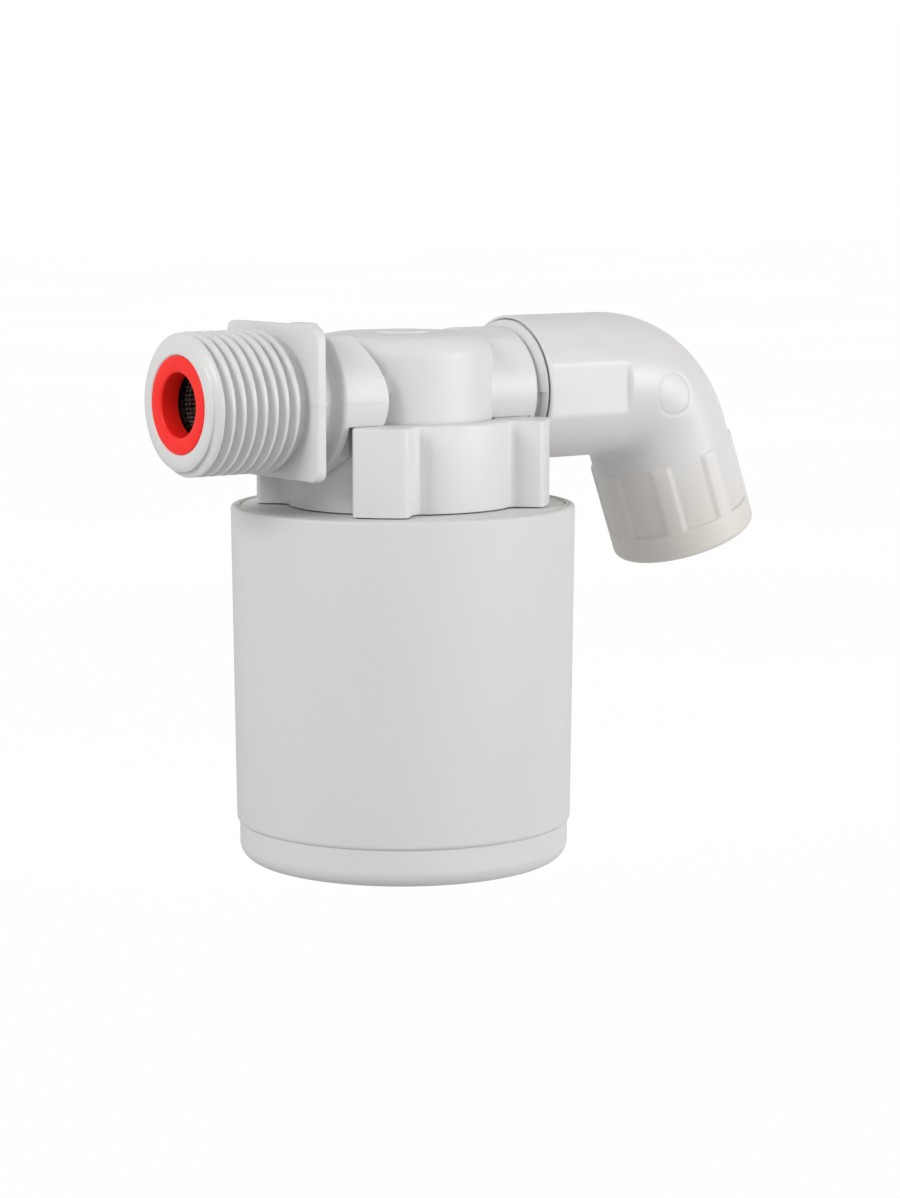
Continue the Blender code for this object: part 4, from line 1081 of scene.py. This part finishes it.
def elbow_ring(along, radius=None):
    """Points round the elbow at a length along it: on its outer face, or on a bore's radius."""
    centre, heading = elbow_station(along)
    tilt = Matrix.Rotation(math.pi / 2 + heading, 3, 'Y')
    mark_x, mark_z = MARK_PLACE
    points = []
    for side in range(FINE_SIDES):
        turn = 2 * math.pi * side / FINE_SIDES
        reach = elbow_outer_radius(turn, along) if radius is None else radius
        # turn 0 points along -Y and a quarter turn points away from the bend's centre
        flat = Vector((-math.sin(turn), -math.cos(turn), 0))
        point = centre + tilt @ (flat * reach)
        if radius is None and point.y < 0:
            from_mark = math.hypot(point.x - mark_x, point.z - mark_z) - MARK_R
            point -= tilt @ flat * (MARK_DEPTH * math.exp(-(from_mark / MARK_WIDTH) ** 2))
        points.append(point)
    return points


def elbow_bore(bend_end, end):
    """Inside of the elbow from the tail's end back to the mouth, as (radius, length) points."""
    groove = [x - ELBOW_MOUTH_X for x in CLIP_GROOVE_X]
    groove_r = ELBOW_SOCKET_R + CLIP_GROOVE_DEPTH
    bore = [(TAIL_SOCKET_R + 0.5, end - 0.02), (TAIL_SOCKET_R, end - 0.5),
            (TAIL_SOCKET_R - 0.1, end - TAIL_SOCKET_DEPTH),
            (ELBOW_WATERWAY_R, end - TAIL_SOCKET_DEPTH)]
    bend_steps = 24
    bore += [(ELBOW_WATERWAY_R, bend_end - ELBOW_BEND_R * ELBOW_BEND * k / bend_steps)
             for k in range(bend_steps + 1)]
    bore += [(ELBOW_WATERWAY_R, ELBOW_SOCKET_DEPTH), (ELBOW_SOCKET_R, ELBOW_SOCKET_DEPTH),
             (ELBOW_SOCKET_R, groove[1]), (groove_r, groove[1]), (groove_r, groove[0]),
             (ELBOW_SOCKET_R, groove[0])]
    bore += [(ELBOW_SOCKET_R, ELBOW_LIP_DEPTH), (ELBOW_LIP_R, ELBOW_LIP_DEPTH),
             (ELBOW_LIP_R, ELBOW_GROOVE_DEPTH), (ELBOW_MOUTH_R, ELBOW_GROOVE_DEPTH),
             (ELBOW_MOUTH_R, 0.12), (ELBOW_MOUTH_R + 0.12, 0.02)]
    return bore


def make_elbow(materials):
    bend_end = ELBOW_STRAIGHT + ELBOW_BEND_R * ELBOW_BEND
    end = bend_end + TAIL_LENGTH
    edge_steps = (0.02, 0.07, 0.15, 0.3)
    between = end - 2 * edge_steps[-1]
    count = round(between / ELBOW_STEP)
    stops = [*edge_steps, *(edge_steps[-1] + between * k / count for k in range(1, count)),
             *(end - at for at in reversed(edge_steps))]
    rings = [elbow_ring(along) for along in stops]
    rings += [elbow_ring(along, radius) for radius, along in elbow_bore(bend_end, end)]
    elbow = new_piece("elbow_shell", skin(rings))
    place(elbow, materials["elbow"], "elbow", "elbow_white", "outlet_elbow")


# ---- carried-over CAD

def dress_cad_nodes(materials):
    """Materials of the CAD pieces that are shown as they are, all of them hidden inside."""
    looks = {
        "housing_oring": "rubber", "piston_seal": "rubber", "seat_washer": "rubber",
        "pilot_pad": "rubber", "elbow_oring": "rubber", "pilot_nozzle": "brass",
        "bleed_pin": "steel", "washer_screw": "steel",
        "main_piston": "inner", "float_well": "inner", "float_stop_ring": "inner",
        "pad_holder": "inner", "elbow_clip": "inner",
    }
    for node, look in looks.items():
        mesh = frame["nodes"][node].data
        mesh.materials.clear()
        mesh.materials.append(materials[look])


# ---- stage and camera

def add_glow(tree, colour, strength):
    node = tree.nodes.new("ShaderNodeEmission")
    tree.links.new(colour, node.inputs["Color"])
    node.inputs["Strength"].default_value = strength
    return node.outputs["Emission"]


def add_background(tree, strength, strength_link=None):
    node = tree.nodes.new("ShaderNodeBackground")
    node.inputs["Color"].default_value = (1, 1, 1, 1)
    node.inputs["Strength"].default_value = strength
    if strength_link:
        tree.links.new(strength_link, node.inputs["Strength"])
    return node.outputs["Background"]


def show_apart(tree, shown, lighting, output):
    """Show one shader to the camera and light the object with another."""
    path = tree.nodes.new("ShaderNodeLightPath")
    mix = tree.nodes.new("ShaderNodeMixShader")
    tree.links.new(path.outputs["Is Camera Ray"], mix.inputs["Fac"])
    tree.links.new(lighting, mix.inputs[1])
    tree.links.new(shown, mix.inputs[2])
    tree.links.new(mix.outputs["Shader"], output.inputs["Surface"])


def make_floor():
    """White floor under the lowest place that the float reaches."""
    travel = min(joint_named("float_slide")["range_m"])
    floor_z = CAD_BOX[0].z + travel - FLOOR_CLEARANCE
    half = FLOOR_HALF
    bm = bmesh.new()
    corners = [bm.verts.new((x, y, floor_z)) for x, y in
               ((-half, -half), (half, -half), (half, half), (-half, half))]
    bm.faces.new(corners)
    mesh = bpy.data.meshes.new("floor")
    bm.to_mesh(mesh)
    bm.free()
    floor = add_object("floor", mesh)
    material, tree, shader = new_material("floor_white")
    tree.nodes.remove(shader)
    clouds = noise_field(tree, 4, detail=2)
    shown = add_glow(tree, blend_colours(tree, clouds, (1.0, 1.0, 1.0), (0.99, 0.99, 0.99)), 1.0)
    lighting = add_glow(tree, blend_colours(tree, clouds, (1.0, 1.0, 1.0), (0.97, 0.97, 0.97)),
                        FLOOR_LIGHT)
    show_apart(tree, shown, lighting, tree.nodes["Material Output"])
    mesh.materials.append(material)


def make_surround():
    """World that the camera sees white, with a softer light that falls off overhead."""
    world = bpy.data.worlds.new("studio")
    bpy.context.scene.world = world
    world.use_nodes = True
    tree = world.node_tree
    height = tree.nodes.new("ShaderNodeSeparateXYZ")
    direction = tree.nodes.new("ShaderNodeTexCoord")
    tree.links.new(direction.outputs["Generated"], height.inputs["Vector"])
    dimmed = tree.nodes.new("ShaderNodeMapRange")
    dimmed.inputs["To Min"].default_value = SURROUND_LIGHT[0]
    dimmed.inputs["To Max"].default_value = SURROUND_LIGHT[1]
    tree.links.new(height.outputs["Z"], dimmed.inputs["Value"])
    lighting = add_background(tree, 1.0, dimmed.outputs["Result"])
    show_apart(tree, add_background(tree, 1.0), lighting, tree.nodes["World Output"])


def add_lamp(name, place_at, target, size, power):
    """Square soft lamp that faces the target."""
    lamp = bpy.data.lights.new(name, 'AREA')
    lamp.size = size
    lamp.energy = power
    holder = add_object(name, lamp)
    holder.location = place_at
    holder.rotation_euler = (Vector(target) - Vector(place_at)).to_track_quat('-Z', 'Y').to_euler()


def make_camera():
    camera = bpy.data.cameras.new("camera")
    camera.lens = CAMERA_LENS
    camera.sensor_width = CAMERA_SENSOR
    camera.clip_start = 0.01
    camera.clip_end = 20.0
    holder = add_object("camera", camera)
    holder.location = CAMERA_PLACE
    holder.rotation_euler = (CAMERA_TILT, 0, CAMERA_TURN)
    bpy.context.scene.camera = holder


def main():
    bpy.context.scene.view_settings.view_transform = 'Standard'
    materials = make_materials()
    make_valve_body(materials)
    make_filter_ring(materials)
    make_screen(materials)
    make_union_nut(materials)
    make_pilot_housing(materials)
    make_piston_spring(materials)
    make_float(materials)
    make_weld_seam(materials)
    make_elbow(materials)
    dress_cad_nodes(materials)
    make_floor()
    make_surround()
    for name, place_at, size, power in LAMPS:
        add_lamp(name, place_at, LAMP_TARGET, size, power)
    make_camera()


main()
